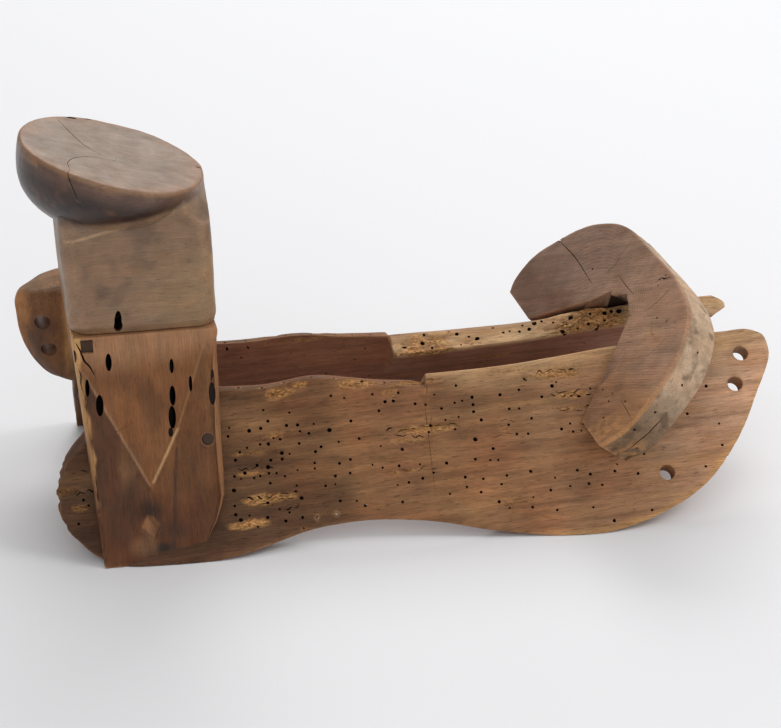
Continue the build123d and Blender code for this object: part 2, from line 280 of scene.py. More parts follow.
def crack(line, normals, width, depth, above=1.5):
    """A wedge along a line: wide above the surface, sharp at depth below it, and closed to a point at both ends."""
    line, normals = np.asarray(line, float), np.broadcast_to(normals, np.shape(line)).astype(float)
    normals = normals / np.linalg.norm(normals, axis=1, keepdims=True)
    side = np.cross(normals, np.gradient(line, axis=0))
    side /= np.linalg.norm(side, axis=1, keepdims=True) + 1e-9
    thin = np.sin(np.linspace(0.12, np.pi - 0.12, len(line)))[:, None] ** 0.5
    top, low = line + above * normals, line - depth * thin * normals
    w = width * thin
    rows = np.stack([top - w * side, top + w * side, low + 0.12 * w * side, low - 0.12 * w * side], 1)
    return turned_out(skin("crack", rows))

# %% [markdown]
# ## The side bars
# A bar is a board whose outer face leans more and more towards the rear, like a propeller blade. A place on it is given
# by x along the tree, s down the outer face and i into the wood. The front part is thin at the top, where the stirrup
# strap passes under the rider's leg, and the rear part has a thick rib. The section at each x is one loop of the skin.

# %% the bars' shared face
low, high = (np.array(c) * 1000 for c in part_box("left_bar"))
BAR_FRONT, BAR_REAR = low[0], high[0]
STEP_X = 9.0
STOP = {-1: 13.0, 1: 2.0}  # where each bar's strap recess ends
LEVEL_OUT, LEVEL_UP = 46, 96  # the level line that both faces turn about
BOARD, RECESS, RIB = 15, 10, 10  # thickness, what the recess takes off, and what the rib adds
LASHING_RADIUS = 6.0


def lean(x):
    """Lean from upright in radians: it grows evenly with x, from 33 to 48 degrees."""
    return np.radians(33 + 15 * (np.asarray(x, float) + 275) / 560)


def on_bar(x, s, i, side):
    """Point: y = side (46 + s sin a - i cos a), z = 96 - s cos a - i sin a, where a is the lean at x."""
    a = lean(x)
    y = LEVEL_OUT + s * np.sin(a) - i * np.cos(a)
    z = LEVEL_UP - s * np.cos(a) - i * np.sin(a)
    return np.stack(np.broadcast_arrays(x, side * y, z), -1)


def bar_place(p):
    """The way back: x, s and i of points."""
    a, y, z = lean(p[..., 0]), np.abs(p[..., 1]) - LEVEL_OUT, p[..., 2] - LEVEL_UP
    return p[..., 0], y * np.sin(a) - z * np.cos(a), -y * np.cos(a) - z * np.sin(a)


def bar_out(x, side):
    """Outward normal of the face."""
    a = lean(x)
    return np.stack(np.broadcast_arrays(0 * a, side * np.cos(a), np.sin(a)), -1)


def bar_outline(x, front, rear, side):
    """Depths of the top and bottom edges at x, read off two smooth paths from the nose to the tail."""
    bottom = path([(front, 58 if side > 0 else 64), (front + 7, 88), (front + 28, 110), (-190, 120), (-143, 117),
                   (-80, 106), (-42, 104), (-4, 108), (72, 127), (125, 134), (160, 129), (225, 97)]
                  + ([(rear - 36, 64), (rear - 18, 33), (rear - 5, 9), (rear, -3)] if side < 0 else
                     [(rear - 30, 48), (rear - 16, 14), (rear - 5, -8), (rear, -15)]))
    tail = path([(STEP_X, -5), (72, -6), (170, -15), (min(250, rear - 30), -19.5)]
                + ([(rear - 14, -19), (rear - 4, -13), (rear, -3)] if side < 0 else
                   [(rear - 14, -20), (rear - 4, -19), (rear, -15)]))
    tip = ([(front, 58), (front + 4, 32), (front + 18, 10)] if side > 0 else
           [(front, 64), (front + 9, 42), (front + 25, 26)])
    nose = path(tip + [(front + 49, -3), (-150, -5), (-108, -4), (-74, -8.5), (-29, 0), (STEP_X, 6)])
    stop = STOP[side]
    nose[:, 0] += (stop - STEP_X) * step(-100, STEP_X, nose[:, 0])
    tail[:, 0] += (stop - STEP_X) * step(100, STEP_X, tail[:, 0])
    top = np.vstack([nose, tail])
    return np.interp(x, top[:, 0], top[:, 1]), np.interp(x, bottom[:, 0], bottom[:, 1])


def bar_depth(x, s, side):
    """Thickness: 15 for the board, down to 5 at the top of the strap recess, up to 25 in the rib behind the step.
    The waist's lower edge is thinned from within."""
    behind = step(STOP[side] - 1, STOP[side] + 1, x)
    recess = step(-156, -140, x) * (1 - behind)
    rib = behind * np.clip((243 - x) / 234, 0, 1)
    waist = step(-110, -60, x) * (1 - step(30, 70, x)) * step(66, 104, s)
    thinned = RECESS * recess * (1 - step(-16, 40, s)) + 10 * waist
    return BOARD - thinned + RIB * rib * np.clip((58 - s) / 46, 0, 1)


# %% [markdown]
# Beetles follow the soft early wood, so their tunnels run along the grain and lie open where the surface has broken
# away. Each eaten patch is given by its middle, its half length and its half height, and is frayed by noise.

# %% worn and eaten places
left_patches = [(-100, 0, 13, 4, 3.2), (-84, -5, 9, 3, 2.4), (-40, -2, 16, 4, 2.2), (-14, 8, 9, 5, 1.4),
                (4, 1, 22, 2.5, 2.0), (8, 38, 26, 3.2, 2.2), (-6, 46, 18, 3, 1.6), (-115, 80, 20, 5, 3.0), (-134, 98, 18, 3.5, 2.6),
                (-122, 44, 20, 2.6, 1.6), (-104, 33, 12, 3, 1.6), (-128, 60, 16, 2.2, 1.8), (-10, 69, 15, 1.2, 2.0),
                (112, 4, 22, 4, 2.6), (126, 22, 14, 3, 2.2), (122, 32, 16, 2.4, 1.8), (134, 44, 8, 4, 2.0),
                (-262, 60, 9, 3, 2.6), (-256, 74, 8, 3, 2.0), (68, 44, 8, 4, 1.2), (66, 100, 10, 3, 1.4),
                (96, -2, 40, 3, 1.0)]
right_patches = [(32, -8, 30, 9, 4.2), (60, -9, 22, 7, 3.0), (140, -17, 52, 9, 4.6), (118, -20, 40, 8, 3.6),
                 (-70, -6, 26, 3, 1.6), (100, 30, 40, 6, 2.0), (-90, 60, 40, 8, 2.0), (0, 80, 30, 6, 2.0)]


def eaten(p, patches, seed):
    """0 to 1: 1.25 minus the squared distance from a patch's middle in its own half sizes, frayed by noise."""
    x, s, i = bar_place(p)
    fray = 0.55 * rough(p, (16, 5, 5), 3, seed)
    worst = np.zeros(x.shape)
    for px, ps, rx, rs, deep in patches:
        near = 1.25 - ((x - px) / rx) ** 2 - ((s - ps) / rs) ** 2
        worst = np.maximum(worst, np.clip(near + fray, 0, 1) * deep / 3)
    return np.clip(worst, 0, 1.5)


BAR_STATIONS = 430


def make_bar(name, side, front, rear, patches, seed):
    """The skin of one bar: a loop of outer face, bottom edge, inner face and top edge at each station along x."""
    u = np.linspace(0, 1, BAR_STATIONS)
    x = front + (rear - 1.0 - front) * (0.55 * u + 0.45 * (1 - np.cos(np.pi * u)) / 2)
    top, bottom = bar_outline(x, front, rear, side)
    tilt, x = np.tan(lean(x))[:, None], x[:, None]
    square = step(STOP[side] - 1, STOP[side] + 1, x)  # behind the step the top edge is square to the face
    top, bottom = top[:, None], bottom[:, None]
    crown = top - bar_depth(x, top, side) * tilt * (1 - square)
    foot = np.maximum(bottom - bar_depth(x, bottom, side) * tilt, crown + 0.45 * (bottom - top))
    inner = foot + (crown - foot) * evenly(64)
    s = np.hstack([top + (bottom - top) * evenly(66), bottom + (foot - bottom) * evenly(9), inner,
                   crown + (top - crown) * evenly(15)])
    i = np.hstack([0 * top + 0 * evenly(66), bar_depth(x, bottom, side) * evenly(9), bar_depth(x, inner, side),
                   bar_depth(x, crown, side) * (1 - evenly(15))])
    room = np.minimum(1, (bottom - top) / 24)  # the edges are worn thinner towards the nose and the tail
    least = 0.45 - 0.33 * step(rear - 60, rear - 20, x)
    i = BOARD / 2 + (i - BOARD / 2) * (least + (1 - least) * room)
    rows = soften(on_bar(x + 0 * s, s, i, side), 2)
    flare = step(74, 120, s) * step(front + 6, front + 60, x) * (1 - step(-150, -60, x))
    rows[..., 1] += side * 9 * flare  # the lower edge spreads out under the fork
    if side > 0:  # the right bar's top is worn down towards its outer corner
        fallen = step(20, -2, s - top) * np.clip(1 - i / 24, 0, 1) * square * (1 - step(110, 165, x))
        rows[..., 2] -= 8.5 * fallen
    gone = eaten(rows, patches, seed)
    tunnels = 1 - np.abs(rough(rows, (20, 3.4, 3.4), 2, seed + 5))
    shape = 0.5 * rough(rows, (70, 34, 34), 2, seed + 1) + 0.16 * rough(rows, (26, 5, 5), 2, seed + 2)
    rows = rows + outward(rows) * (shape - gone * (0.7 + 2.6 * tunnels**3))[..., None]
    if side < 0:  # the left bar's nose has crumbled
        place = np.stack([0 * rows[..., 2], rows[..., 1] * 0.6, rows[..., 2]], -1)
        bite = 1.2 + 3.0 * rough(place, 13, 4, seed + 3) + 1.8 * noise(place, 3.4, seed + 4)
        bite = np.clip(bite, 0, 8) + 5 * step(24, 48, np.abs(s - 70))
        rows[..., 0] += bite * (1 - step(0, 22, rows[..., 0] - front)) * step(12, 30, s)
    rows[..., 2] = np.maximum(rows[..., 2], 0.5)
    widest = max(abs(corner[1]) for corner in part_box("left_bar" if side < 0 else "right_bar")) * 1000 - 0.4
    rows[..., 1] = np.clip(rows[..., 1], -widest, widest)
    return skin(name, close_ends(rows))


left_bar = make_bar("left_bar_wood", -1, BAR_FRONT + 0.6, BAR_REAR - 0.5, left_patches, 11)
right_low, right_high = (np.array(c) * 1000 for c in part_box("right_bar"))
right_bar = make_bar("right_bar_wood", 1, right_low[0] + 1, right_high[0] - 0.5, right_patches, 41)
print("points in the bars:", len(left_bar.data.vertices), len(right_bar.data.vertices))

# %% [markdown]
# ## Lashing holes and beetle holes
# The lashing holes are where the record's mounts say. Furniture beetles leave round exit holes of 1.5 to 2.5 mm, in
# crowds where the sapwood was, so each crowd is a region of the face with its own count. A hole too close to another
# is dropped, and the same seed always gives the same holes.

# %% holes in the bars
def scatter(regions, seed, apart=4.2):
    """x and s of holes: even random places in each (x0, x1, s0, s1, count), kept when apart from all kept before."""
    rng = np.random.default_rng(seed)
    kept = np.empty((0, 2))
    for x0, x1, s0, s1, count in regions:
        for spot in rng.uniform((x0, s0), (x1, s1), (count, 2)):
            if len(kept) == 0 or np.min(np.linalg.norm(kept - spot, axis=1)) > apart:
                kept = np.vstack([kept, spot])
    return kept, rng


def bore_bar(piece, side, regions, seed, inside=False):
    """Lashing holes from the mounts, and tubes of 0.8 to 1.35 mm radius, tilted up to about 25 degrees."""
    word = "left" if side < 0 else "right"
    lash = [m for n, m in mounts.items() if n.startswith(word) and m["kind"] == "bore"]
    centre = np.array([m["pos_m"] for m in lash]) * 1000
    combine(piece, bores(centre, [m["axis"] for m in lash], LASHING_RADIUS, 44, 32))
    spots, rng = scatter(regions, seed)
    place = np.array([bar_place(c)[:2] for c in centre])
    keep = np.min(np.linalg.norm(spots[:, None] - place[None], axis=2), axis=1) > 9
    spots = spots[keep]
    x, s = spots.T
    i = bar_depth(x, s, side) if inside else 0 * x
    out = bar_out(x, side) * (-1 if inside else 1)
    aim = out + rng.uniform(-0.42, 0.42, out.shape)
    size = rng.uniform(0.8, 1.35, len(x)) * np.where(rng.random(len(x)) > 0.9, 1.35, 1)
    combine(piece, bores(on_bar(x, s, i, side), aim, size, rng.uniform(14, 20, len(x)), 9))
    return len(x)


near_regions = [(-142, -62, 12, 106, 62), (-142, -100, 30, 66, 16), (-62, -4, 4, 96, 26), (-4, 40, 16, 94, 17),
                (40, 96, 8, 118, 26), (96, 140, 2, 112, 20), (140, 176, 60, 124, 8), (196, 236, -8, 60, 12),
                (176, 262, 10, 96, 10), (0, 120, 4, 20, 10), (-266, -246, 60, 96, 3)]
far_regions = [(-142, -10, 4, 60, 26), (20, 240, 10, 80, 30), (-140, 220, 60, 110, 24)]
print("beetle holes, left bar:", bore_bar(left_bar, -1, near_regions, 7))
print("beetle holes, right bar, outside:", bore_bar(right_bar, 1, far_regions, 8))
spots, rng = scatter([(-142, -6, 6, 70, 18), (18, 200, 16, 60, 14)], 9)  # the right bar's inner face
aim = -bar_out(spots[:, 0], 1) + rng.uniform(-0.3, 0.3, (len(spots), 3))
where = on_bar(*spots.T, bar_depth(*spots.T, 1), 1)
combine(right_bar, bores(where, aim, rng.uniform(0.8, 1.3, len(spots)), 14, 9))

# %% top-edge holes and open galleries
def top_bores(piece, side, spans, seed):
    """Holes that come out of the top edge: their axes point up, and their places run along the edge."""
    rng = np.random.default_rng(seed)
    for x0, x1, count, size in spans:
        x = np.linspace(x0, x1, count) + rng.uniform(-3, 3, count)
        top, _ = bar_outline(x, BAR_FRONT + 1, BAR_REAR - 0.5, side)
        i = rng.uniform(2, np.maximum(3, bar_depth(x, top, side) - 2))
        square = step(STOP[side] - 1, STOP[side] + 1, x)
        where = on_bar(x, top - i * np.tan(lean(x)) * (1 - square) + 1, i, side)
        lying = np.stack([0 * x, -side * np.sin(lean(x)), np.cos(lean(x))], 1) * square[:, None]
        aim = lying + np.c_[rng.uniform(-0.5, 0.5, count), rng.uniform(-0.5, 0.5, count), 1 - square]
        combine(piece, bores(where, aim, rng.uniform(0.8, size, count), 14, 9))


top_bores(right_bar, 1, [(-130, -10, 8, 1.3), (14, 70, 12, 1.9), (80, 110, 6, 1.3), (112, 186, 17, 2.3)], 21)
top_bores(left_bar, -1, [(-128, -20, 7, 1.3), (16, 110, 9, 1.3)], 22)


def gallery(side, x0, x1, s, size, seed):
    """An open tunnel along the grain, in short ragged lengths: s wanders, and each length has its own width."""
    rng = np.random.default_rng(seed)
    at, cuts = x0, []
    while at < x1:
        run = np.linspace(at, min(at + rng.uniform(4, 11), x1 + 3), 9)
        down = s + 1.6 * noise(np.c_[run, 0 * run, 0 * run], 3.1, seed) + rng.uniform(-0.8, 0.8)
        width = size * rng.uniform(0.5, 1.1)
        cuts.append(crack(on_bar(run, down, 0, side), bar_out(run, side), width, 1.5 + 2 * width))
        at = run[-1] + rng.uniform(0.6, 3.5)
    return cuts


tunnels = []
for number, tunnel in enumerate([
        (-22, 34, 37, 0.75), (-16, 6, 43, 0.6), (-132, -96, 78, 1.0), (-128, -100, 81, 0.8), (-152, -112, 95, 0.7),
        (-146, -120, 99, 0.6), (-118, -100, 34, 0.6), (-136, -112, 56, 0.6), (-130, -110, 44, 0.5), (-14, 10, 69, 0.5),
        (66, 76, 38, 0.6), (58, 74, 48, 0.5), (100, 130, 2, 0.9), (112, 134, 18, 0.6), (108, 140, 22, 0.8),
        (112, 136, 33, 0.7), (-258, -246, 62, 0.9), (-260, -250, 47, 0.5), (60, 78, 103, 0.6), (-104, -96, 88, 0.6)]):
    tunnels += gallery(-1, *tunnel, 600 + number)
combine(left_bar, bundle(tunnels))
scribed = np.linspace(14, 92, 26)
combine(left_bar, crack(on_bar(10.5 - scribed * 0.01, scribed, 0, -1), bar_out(10 + 0 * scribed, -1), 0.35, 0.5))
print("the left bar has", len(left_bar.data.polygons), "faces")

# %% [markdown]
# ## The fork's legs
# A leg is a slab split from a log. Its inner face lies on the bar, so it twists as the bar does, and its outer face is
# a plane with a carved V: the field inside the V stands proud, and the flanks fall away on both sides of two crisp
# ridges. Loops at rising heights make the skin, and the V is pressed into its outer side.

# %% a leg's shape
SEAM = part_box("left_fork_leg")[1][2] * 1000
LEG_SLOPE = 70 / 157


def leg_out(z):
    """Distance of the leg's outer plane from the centre plane: 50 at the seam, 0.446 more for each mm lower."""
    return 50 + (SEAM - z) * LEG_SLOPE


def below_line(x, z, a, b):
    """Distance outside the line from a to b, to its left going from a to b, in the (x, z) plane."""
    d = np.subtract(b, a)
    return ((x - a[0]) * -d[1] + (z - a[1]) * d[0]) / np.hypot(*d)


V_FRONT, V_TIP, V_REAR = (-246, 133), (-203, 52), (-153, 151)  # the V's corners, as x and z


def carved_v(x, z):
    """Depth of the V carving: it grows with the distance outside the nearer ridge, and levels off at 3.4."""
    left = below_line(x, z, V_TIP, V_FRONT)
    right = below_line(x, z, V_REAR, V_TIP)
    out = np.maximum(left, right)
    shelf = np.where(left > right, 0.24, 0.32) * np.clip(out, 0, 40)
    flank = np.minimum(shelf, np.where(left > right, 2.9, 5.2))
    return flank * (1 - 0.75 * step(70, 10, z)) * (1 - step(142, 154, z))


def chip(x, z):
    """1 on the outline of the small diamond chipped out below the V, and less inside."""
    return np.abs(x + 205.5 + 0.25 * (z - 25)) / 7 + np.abs(z - 25) / 9


def make_leg(name, side, seed):
    """Loops at 170 heights: outer plane, rear edge, inner face on the bar, front edge."""
    z = np.r_[0.5, np.linspace(1.4, SEAM - 1.5, 168), SEAM - 0.6][:, None]
    front = np.interp(z, [0, 157], [-242.0, -252.5])
    rear = np.interp(z, [0, 5, 14, 25, 36, 42, 157], [-176.0, -171, -163, -156, -151, -149.0, -144.8])
    x = np.hstack([front + (rear - front) * evenly(92), rear + 0 * evenly(24), rear + (front - rear) * evenly(70),
                   front + 0 * evenly(24)])
    outer = leg_out(z) + 0 * x
    inner = np.maximum(46 + (96 - z) * np.tan(lean(x)) + 0.25, 16.4 + 0 * x)
    mix = np.hstack([0 + 0 * evenly(92), evenly(24), 1 + 0 * evenly(70), 1 - evenly(24)])
    rows = soften(np.stack([x, side * (outer + (inner - outer) * mix), z + 0 * x], -1), 3)
    face = 1 - step(0.0, 0.25, mix + 0 * z)
    push = carved_v(x, z) * face
    push = push + 1.7 * face * step(1.1, 0.75, chip(x, z))
    push = push - 0.35 * rough(rows, (9, 9, 40), 3, seed) - 0.25 * rough(rows, 26, 2, seed + 1)
    edge = np.abs(x - front) < 2.5
    push = push + np.where(edge, 0.9 * np.clip(rough(rows, (3, 3, 14), 2, seed + 2) + 0.3, 0, 2), 0)
    rows = rows - outward(rows) * (push * (0.2 + 0.8 * (1 - np.clip(mix, 0, 1))))[..., None]
    ring = 1 - 0.016 * step(3.5, 0, SEAM - z)[..., None]
    middle = rows.mean(1, keepdims=True)
    rows = middle + (rows - middle) * ring
    rows[..., 2] = np.maximum(rows[..., 2], 0.4)
    return skin(name, close_ends(rows))


left_leg = make_leg("left_leg_wood", -1, 61)
right_leg = make_leg("right_leg_wood", 1, 71)
print("points in a leg:", len(left_leg.data.vertices))

# %% [markdown]
# The right leg still has its forward ear, a lobe that the rawhide was tied to through two round holes. The same ear on
# the left leg has split away along its holes, which is why that edge is pale and torn.

# %% the right leg's ear
ear_low, ear_high = (np.array(c) * 1000 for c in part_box("right_fork_leg"))


def make_ear():
    """Loops at 90 heights between a vertical inner face and a flared outer face; x comes from a rounded lobe."""
    z = np.linspace(67, ear_high[2] - 1.0, 90)
    lobe = path([(-252, 66), (-262, 71), (-275, 86), (-283, 105), (ear_low[0] + 1, 130), (ear_low[0] + 0.6, 141),
                 (-284, 150), (-277, 155.5), (-262, 156.6), (-250, 157.2)])
    front = np.interp(z, lobe[:, 1], lobe[:, 0])[:, None]
    z = z[:, None]
    back = -232.0
    inner = np.interp(z, [66, 85, 120, 158], [56, 53.5, 47.5, 43.5])
    outer = np.interp(z, [66, 110, 158], [88, 78, 65.5])
    x = np.hstack([front + (back - front) * evenly(40), back + 0 * z * evenly(18), back + (front - back) * evenly(40),
                   front + 0 * evenly(22)])
    mix = np.hstack([0 * evenly(40), evenly(18), 1 + 0 * evenly(40), 1 - evenly(22)])
    taper = step(-3, 24, x - front) * 0.5 + 0.5 * step(0, 9, x - front)  # the lobe thins towards its front edge
    half = (inner - outer) / 2
    y = (outer + inner) / 2 + half * (2 * mix - 1) * (0.25 + 0.75 * taper)
    rows = soften(np.stack([x, y, z + 0 * x], -1), 4)
    rows[..., 2] -= 5.0 * step(66, 46, rows[..., 1]) * step(150, 158, rows[..., 2])
    rows[..., 2] += 5.5 * np.clip((rows[..., 0] + 284) / 30, 0, 1) * step(135, 157, rows[..., 2])
    return skin("ear", close_ends(rows + outward(rows) * (0.4 * rough(rows, 18, 3, 91))[..., None]))


combine(right_leg, make_ear(), "UNION")
combine(right_leg, bores([(-268, 56, 127), (-264, 62, 102)], [(0, 1, 0.2)] * 2, 6.2, 90, 28))
print("the right leg has", len(right_leg.data.polygons), "faces")

# %% [markdown]
# Thongs were laced through short upright slots in both legs. Each slot is a borer whose ring is longer upwards. The
# seam under the post, the split strip along the left leg's front edge and a long drying crack are thin wedges.

# %% slots and cracks in the legs
def leg_place(x, z, side):
    return np.stack(np.broadcast_arrays(x, side * leg_out(np.asarray(z, float)), z), -1)


def leg_slots(piece, side, slots):
    """Each slot is (x, z, width, height, depth); its ring is stretched upwards by height over width."""
    x, z, width, height, deep = np.array(slots, float).T
    n = np.array([0, side, LEG_SLOPE]) / np.hypot(1, LEG_SLOPE)
    combine(piece, bores(leg_place(x, z, side), n, width / 2, deep, 20, (np.array([0.03, 0, 1.0]), height / width)))


leg_slots(left_leg, -1, [(-227, 139, 4.6, 13, 60), (-181, 133, 3.2, 11, 26), (-182, 113, 4.6, 15, 50),
                         (-183.5, 98.5, 5.6, 17, 46), (-244, 123, 3.2, 13, 40), (-236, 110.5, 5.6, 16, 50),
                         (-251.5, 144.5, 3.2, 10, 30), (-168, 120, 2.6, 12, 26), (-185.5, 88.5, 3.6, 7, 7)])
leg_slots(left_leg, -1, [(-152.2, 112, 4.8, 17, 14)])
leg_slots(left_leg, -1, [(-151.2, 120, 3.0, 19, 10)])
leg_slots(right_leg, 1, [(-227, 139, 4.6, 13, 60), (-182, 132, 4.0, 13, 40), (-182, 110, 4.6, 15, 50),
                         (-168, 119, 3.6, 12, 40), (-237, 110, 4.6, 15, 50), (-151, 112, 5, 30, 14)])


REAR_PEG, FOOT_PEG = (-158.0, 33.0), (-205.0, 92.0)  # x and s of a leg's two pegs
PLUG_X, PLUG_Z = -242, 150.5  # the square plug through both legs
PEG_RADIUS, PLUG_RADIUS = 4.0, 6.2


def leg_crack(piece, side, x, z, width, depth):
    run = path(np.c_[x, z], 34)
    normal = (0, side, LEG_SLOPE)
    combine(piece, crack(leg_place(run[:, 0], run[:, 1], side), normal, width, depth))


for x, z, width, depth in (([-250, -247, -244.5, -241, -238], [154, 148, 141, 137, 131], 0.9, 5),
                           ([-249.5, -248, -248.5, -247], [137, 131, 127, 119], 0.8, 4),
                           ([-181, -182, -185, -188], [80, 62, 40, 12], 0.45, 2.2),
                           ([-161, -161.5, -163], [86, 79, 71], 0.5, 2),
                           ([-238, -226, -214], [87, 92, 96], 0.3, 0.8),
                           ([-172, -171.5, -173], [30, 20, 10], 0.5, 2)):
    leg_crack(left_leg, -1, x, z, width, depth)
leg_crack(right_leg, 1, [-200, -201, -198, -199], [150, 110, 70, 20], 0.5, 3)
for leg, side in ((left_leg, -1), (right_leg, 1)):
    out = bar_out(REAR_PEG[0], side)
    combine(leg, bores(on_bar(*REAR_PEG, 0, side) + 22 * out, out, PEG_RADIUS + 0.3, 80, 24))
    combine(leg, bores([(PLUG_X, side * 40, PLUG_Z)], (0, 1, 0), PLUG_RADIUS + 0.2, 80, 4, ((1, 0, 1), 1)))

# %% [markdown]
# ## The post and its horn
# Post and horn are one piece of wood. The post is a rounded square block that sits on the legs, and the horn is a bowl
# with a flat top that tilts back. The horn is worked out in rings round its own axis: up the bowl, over the worn rim
# and in along the tilted top to the middle. The two skins are then joined into one.

# %% post, tongue and horn
HORN_X, HORN_TOP, HORN_TILT = -213.0, 281.0, np.radians(15)
HORN_RADIUS, GIRTH = 69.8, 275  # the bowl's widest ring and its height


def rounded_square(x0, x1, half, corner, count=36):
    """A closed loop: straight sides joined by quarter circles of the corner radius, count points to a side."""
    t = np.linspace(0, 1, count, endpoint=False)
    turn = np.linspace(0, np.pi / 2, 10, endpoint=False)
    mid, hx = (x0 + x1) / 2, (x1 - x0) / 2
    sides = []
    for k in range(4):
        a = k * np.pi / 2
        w, h = (hx, half) if k % 2 == 0 else (half, hx)
        arc = np.c_[w - corner + corner * np.cos(turn), h - corner + corner * np.sin(turn)]
        flat = np.c_[(w - corner) - 2 * (w - corner) * t, np.full(count, h)]
        local = np.vstack([arc, flat])
        sides.append(np.c_[mid + local[:, 0] * np.cos(a) - local[:, 1] * np.sin(a),
                           local[:, 0] * np.sin(a) + local[:, 1] * np.cos(a)])
    return np.vstack(sides)


def make_post():
    """Loops at 120 heights: the block leans a little forward as it rises and swells just above the seam."""
    rows = []
    for z in np.r_[SEAM + 0.5, np.linspace(SEAM + 1.6, 262, 119)]:
        t = (z - SEAM) / 105
        draw = 3.4 * (1 - step(0, 9, z - SEAM)) ** 1.3
        loop = rounded_square(-254 - 4.5 * t + draw * 0.6, -143.5 - 3 * t - draw * 0.3, 50 - 1.8 * t - draw, 14)
        sag = -1.6 * (1 - step(0, 12, z - SEAM)) * np.cos(np.pi * (loop[:, 0] + 205) / 130)
        arm = loop - (HORN_X, 0)  # the top corners are cut back to meet the horn's round rim
        reach = np.linalg.norm(arm, axis=1, keepdims=True)
        most = 67 + 34 * (1 - step(212, 262, z)) ** 1.5
        loop = (HORN_X, 0) + arm * np.minimum(1, most / reach)
        rows.append(np.c_[loop, z + np.clip(sag, -0.1, 0)])
    rows = soften(np.array(rows), 2)
    bump = 0.45 * rough(rows, (40, 40, 30), 3, 101) + 0.12 * rough(rows, (5, 5, 5), 2, 102)
    return skin("horn_post_wood", close_ends(rows + outward(rows) * bump[..., None]))


def make_horn():
    """Rings of polar angle q from the bowl's foot: r = radius sin q and z = girth - 50 cos q, or girth - 90 cos q
    above it, until the ring meets the tilted top z = top - (x - axis) tan tilt; then straight in along the top."""
    turn = np.linspace(0, 2 * np.pi, 300, endpoint=False)
    flat = 1 - 0.035 * np.exp(-((np.mod(turn - np.radians(235) + np.pi, 2 * np.pi) - np.pi) / 0.5) ** 2)
    wide = flat * (1 - 0.07 * np.exp(-((np.mod(turn - np.radians(62) + np.pi, 2 * np.pi) - np.pi) / 0.7) ** 2))
    wide = wide * (1 + 0.008 * noise(np.c_[np.cos(turn), np.sin(turn), 0 * turn], 0.4, 5))

    def bowl(q):
        r = HORN_RADIUS * np.sin(q) * wide
        z = GIRTH - np.where(q < np.pi / 2, 50.0, 90.0) * np.cos(q)
        return r, z

    lo, hi = np.full(turn.shape, 0.05), np.full(turn.shape, 2.6)
    for _ in range(40):
        q = (lo + hi) / 2
        r, z = bowl(q)
        over = z > HORN_TOP - np.tan(HORN_TILT) * r * np.cos(turn)
        lo, hi = np.where(over, lo, q), np.where(over, q, hi)
    rim = (lo + hi) / 2
    up = []
    for share in np.linspace(0.03, 1, 92) ** 0.9:
        r, z = bowl(rim * share)
        up.append(np.stack([r * np.cos(turn), r * np.sin(turn), z], -1))
    r, z = bowl(rim)
    for share in np.linspace(1, 0.02, 74)[1:]:
        q = r * share
        up.append(np.stack([q * np.cos(turn), q * np.sin(turn), HORN_TOP - np.tan(HORN_TILT) * q * np.cos(turn)], -1))
    rows = np.array(up) + (HORN_X, 0, 0)
    for _ in range(10):  # the rim is worn round
        rows[84:104] = 0.5 * rows[84:104] + 0.25 * (rows[83:103] + rows[85:105])
    dish = 0.9 * np.exp(-((rows[..., 0] - HORN_X - 12) ** 2 + (rows[..., 1] - 8) ** 2) / 900)
    bump = 0.35 * rough(rows, 30, 3, 111) + 0.1 * rough(rows, (16, 4, 4), 2, 112)
    rows[92:, :, 2] -= dish[92:]
    rows[..., 2] -= 0.35
    return skin("horn", close_ends(rows + outward(rows) * bump[..., None]))


post = combine(make_post(), make_horn(), "UNION")


def make_tongue():
    """The post's tongue between the leg heads: loops at rising heights of a plain rounded block."""
    loop = rounded_square(-250.5, -147.5, 15.8, 2.5, 20)
    rows = [np.c_[loop, np.full(len(loop), z)] for z in np.linspace(128.4, 164, 40)]
    return skin("tongue", close_ends(np.array(rows)))


combine(post, make_tongue(), "UNION")
combine(post, bores([(-218, -50, 167.5)], [(0.05, 1, 0.1)], 2.7, 60, 20, (np.array([0.06, 0, 1.0]), 3.2)))
combine(post, bores([(-218, -50, 163.5)], [(0.05, 1, 0.1)], 3.3, 44, 20, (np.array([0.02, 0, 1.0]), 1.7)))


def horn_top(x, y):
    return np.stack([x, y, HORN_TOP - np.tan(HORN_TILT) * (np.asarray(x) - HORN_X)], -1)


top_normal = (np.sin(HORN_TILT), 0, np.cos(HORN_TILT))
line = path([(-248, 52), (-241, 30), (-232, 8), (-221, -7), (-213, -13)], 40)
combine(post, crack(horn_top(*line.T), top_normal, 0.4, 6))
line = path([(-209, -5), (-212, -13), (-224, -14), (-240, -22), (-247, -34), (-247, -48)], 40)
combine(post, crack(horn_top(*line.T), top_normal, 0.4, 5))
line = [(-247, -47, 292), (-248, -55, 287), (-245, -60, 276), (-241, -61, 264)]
combine(post, crack(line, (-0.4, -1, 0.1), 0.5, 4, 4))
combine(post, crack(path([(-203, -58, 250), (-199, -55, 243), (-204, -51, 236)], 20), (0, -1, -0.6), 0.35, 2, 6))
for notch, aim, size in (((-236, 62, 291), (0.15, 1, 1.1), 2.6), ((-222, 66, 288), (0.1, 1, 1.0), 2.2),
                         ((-160, 47, 270), (0.8, 0.6, 0.9), 1.5), ((-145, 24, 268), (1, 0.4, 0.9), 1.3),
                         ((-146, 2, 266), (1, 0.0, 0.9), 1.0)):
    combine(post, bores([notch], [aim], size, 12, 12, (np.array([1.0, -0.3, 0]), 2.0)))
line = path([(-253, -50.6, 232), (-240, -51, 233.5), (-225, -50.8, 237.5), (-211, -50.4, 242)], 40)
combine(post, crack(line, (0, -1, 0), 0.75, 0.8, 2))
print("the post has", len(post.data.polygons), "faces")

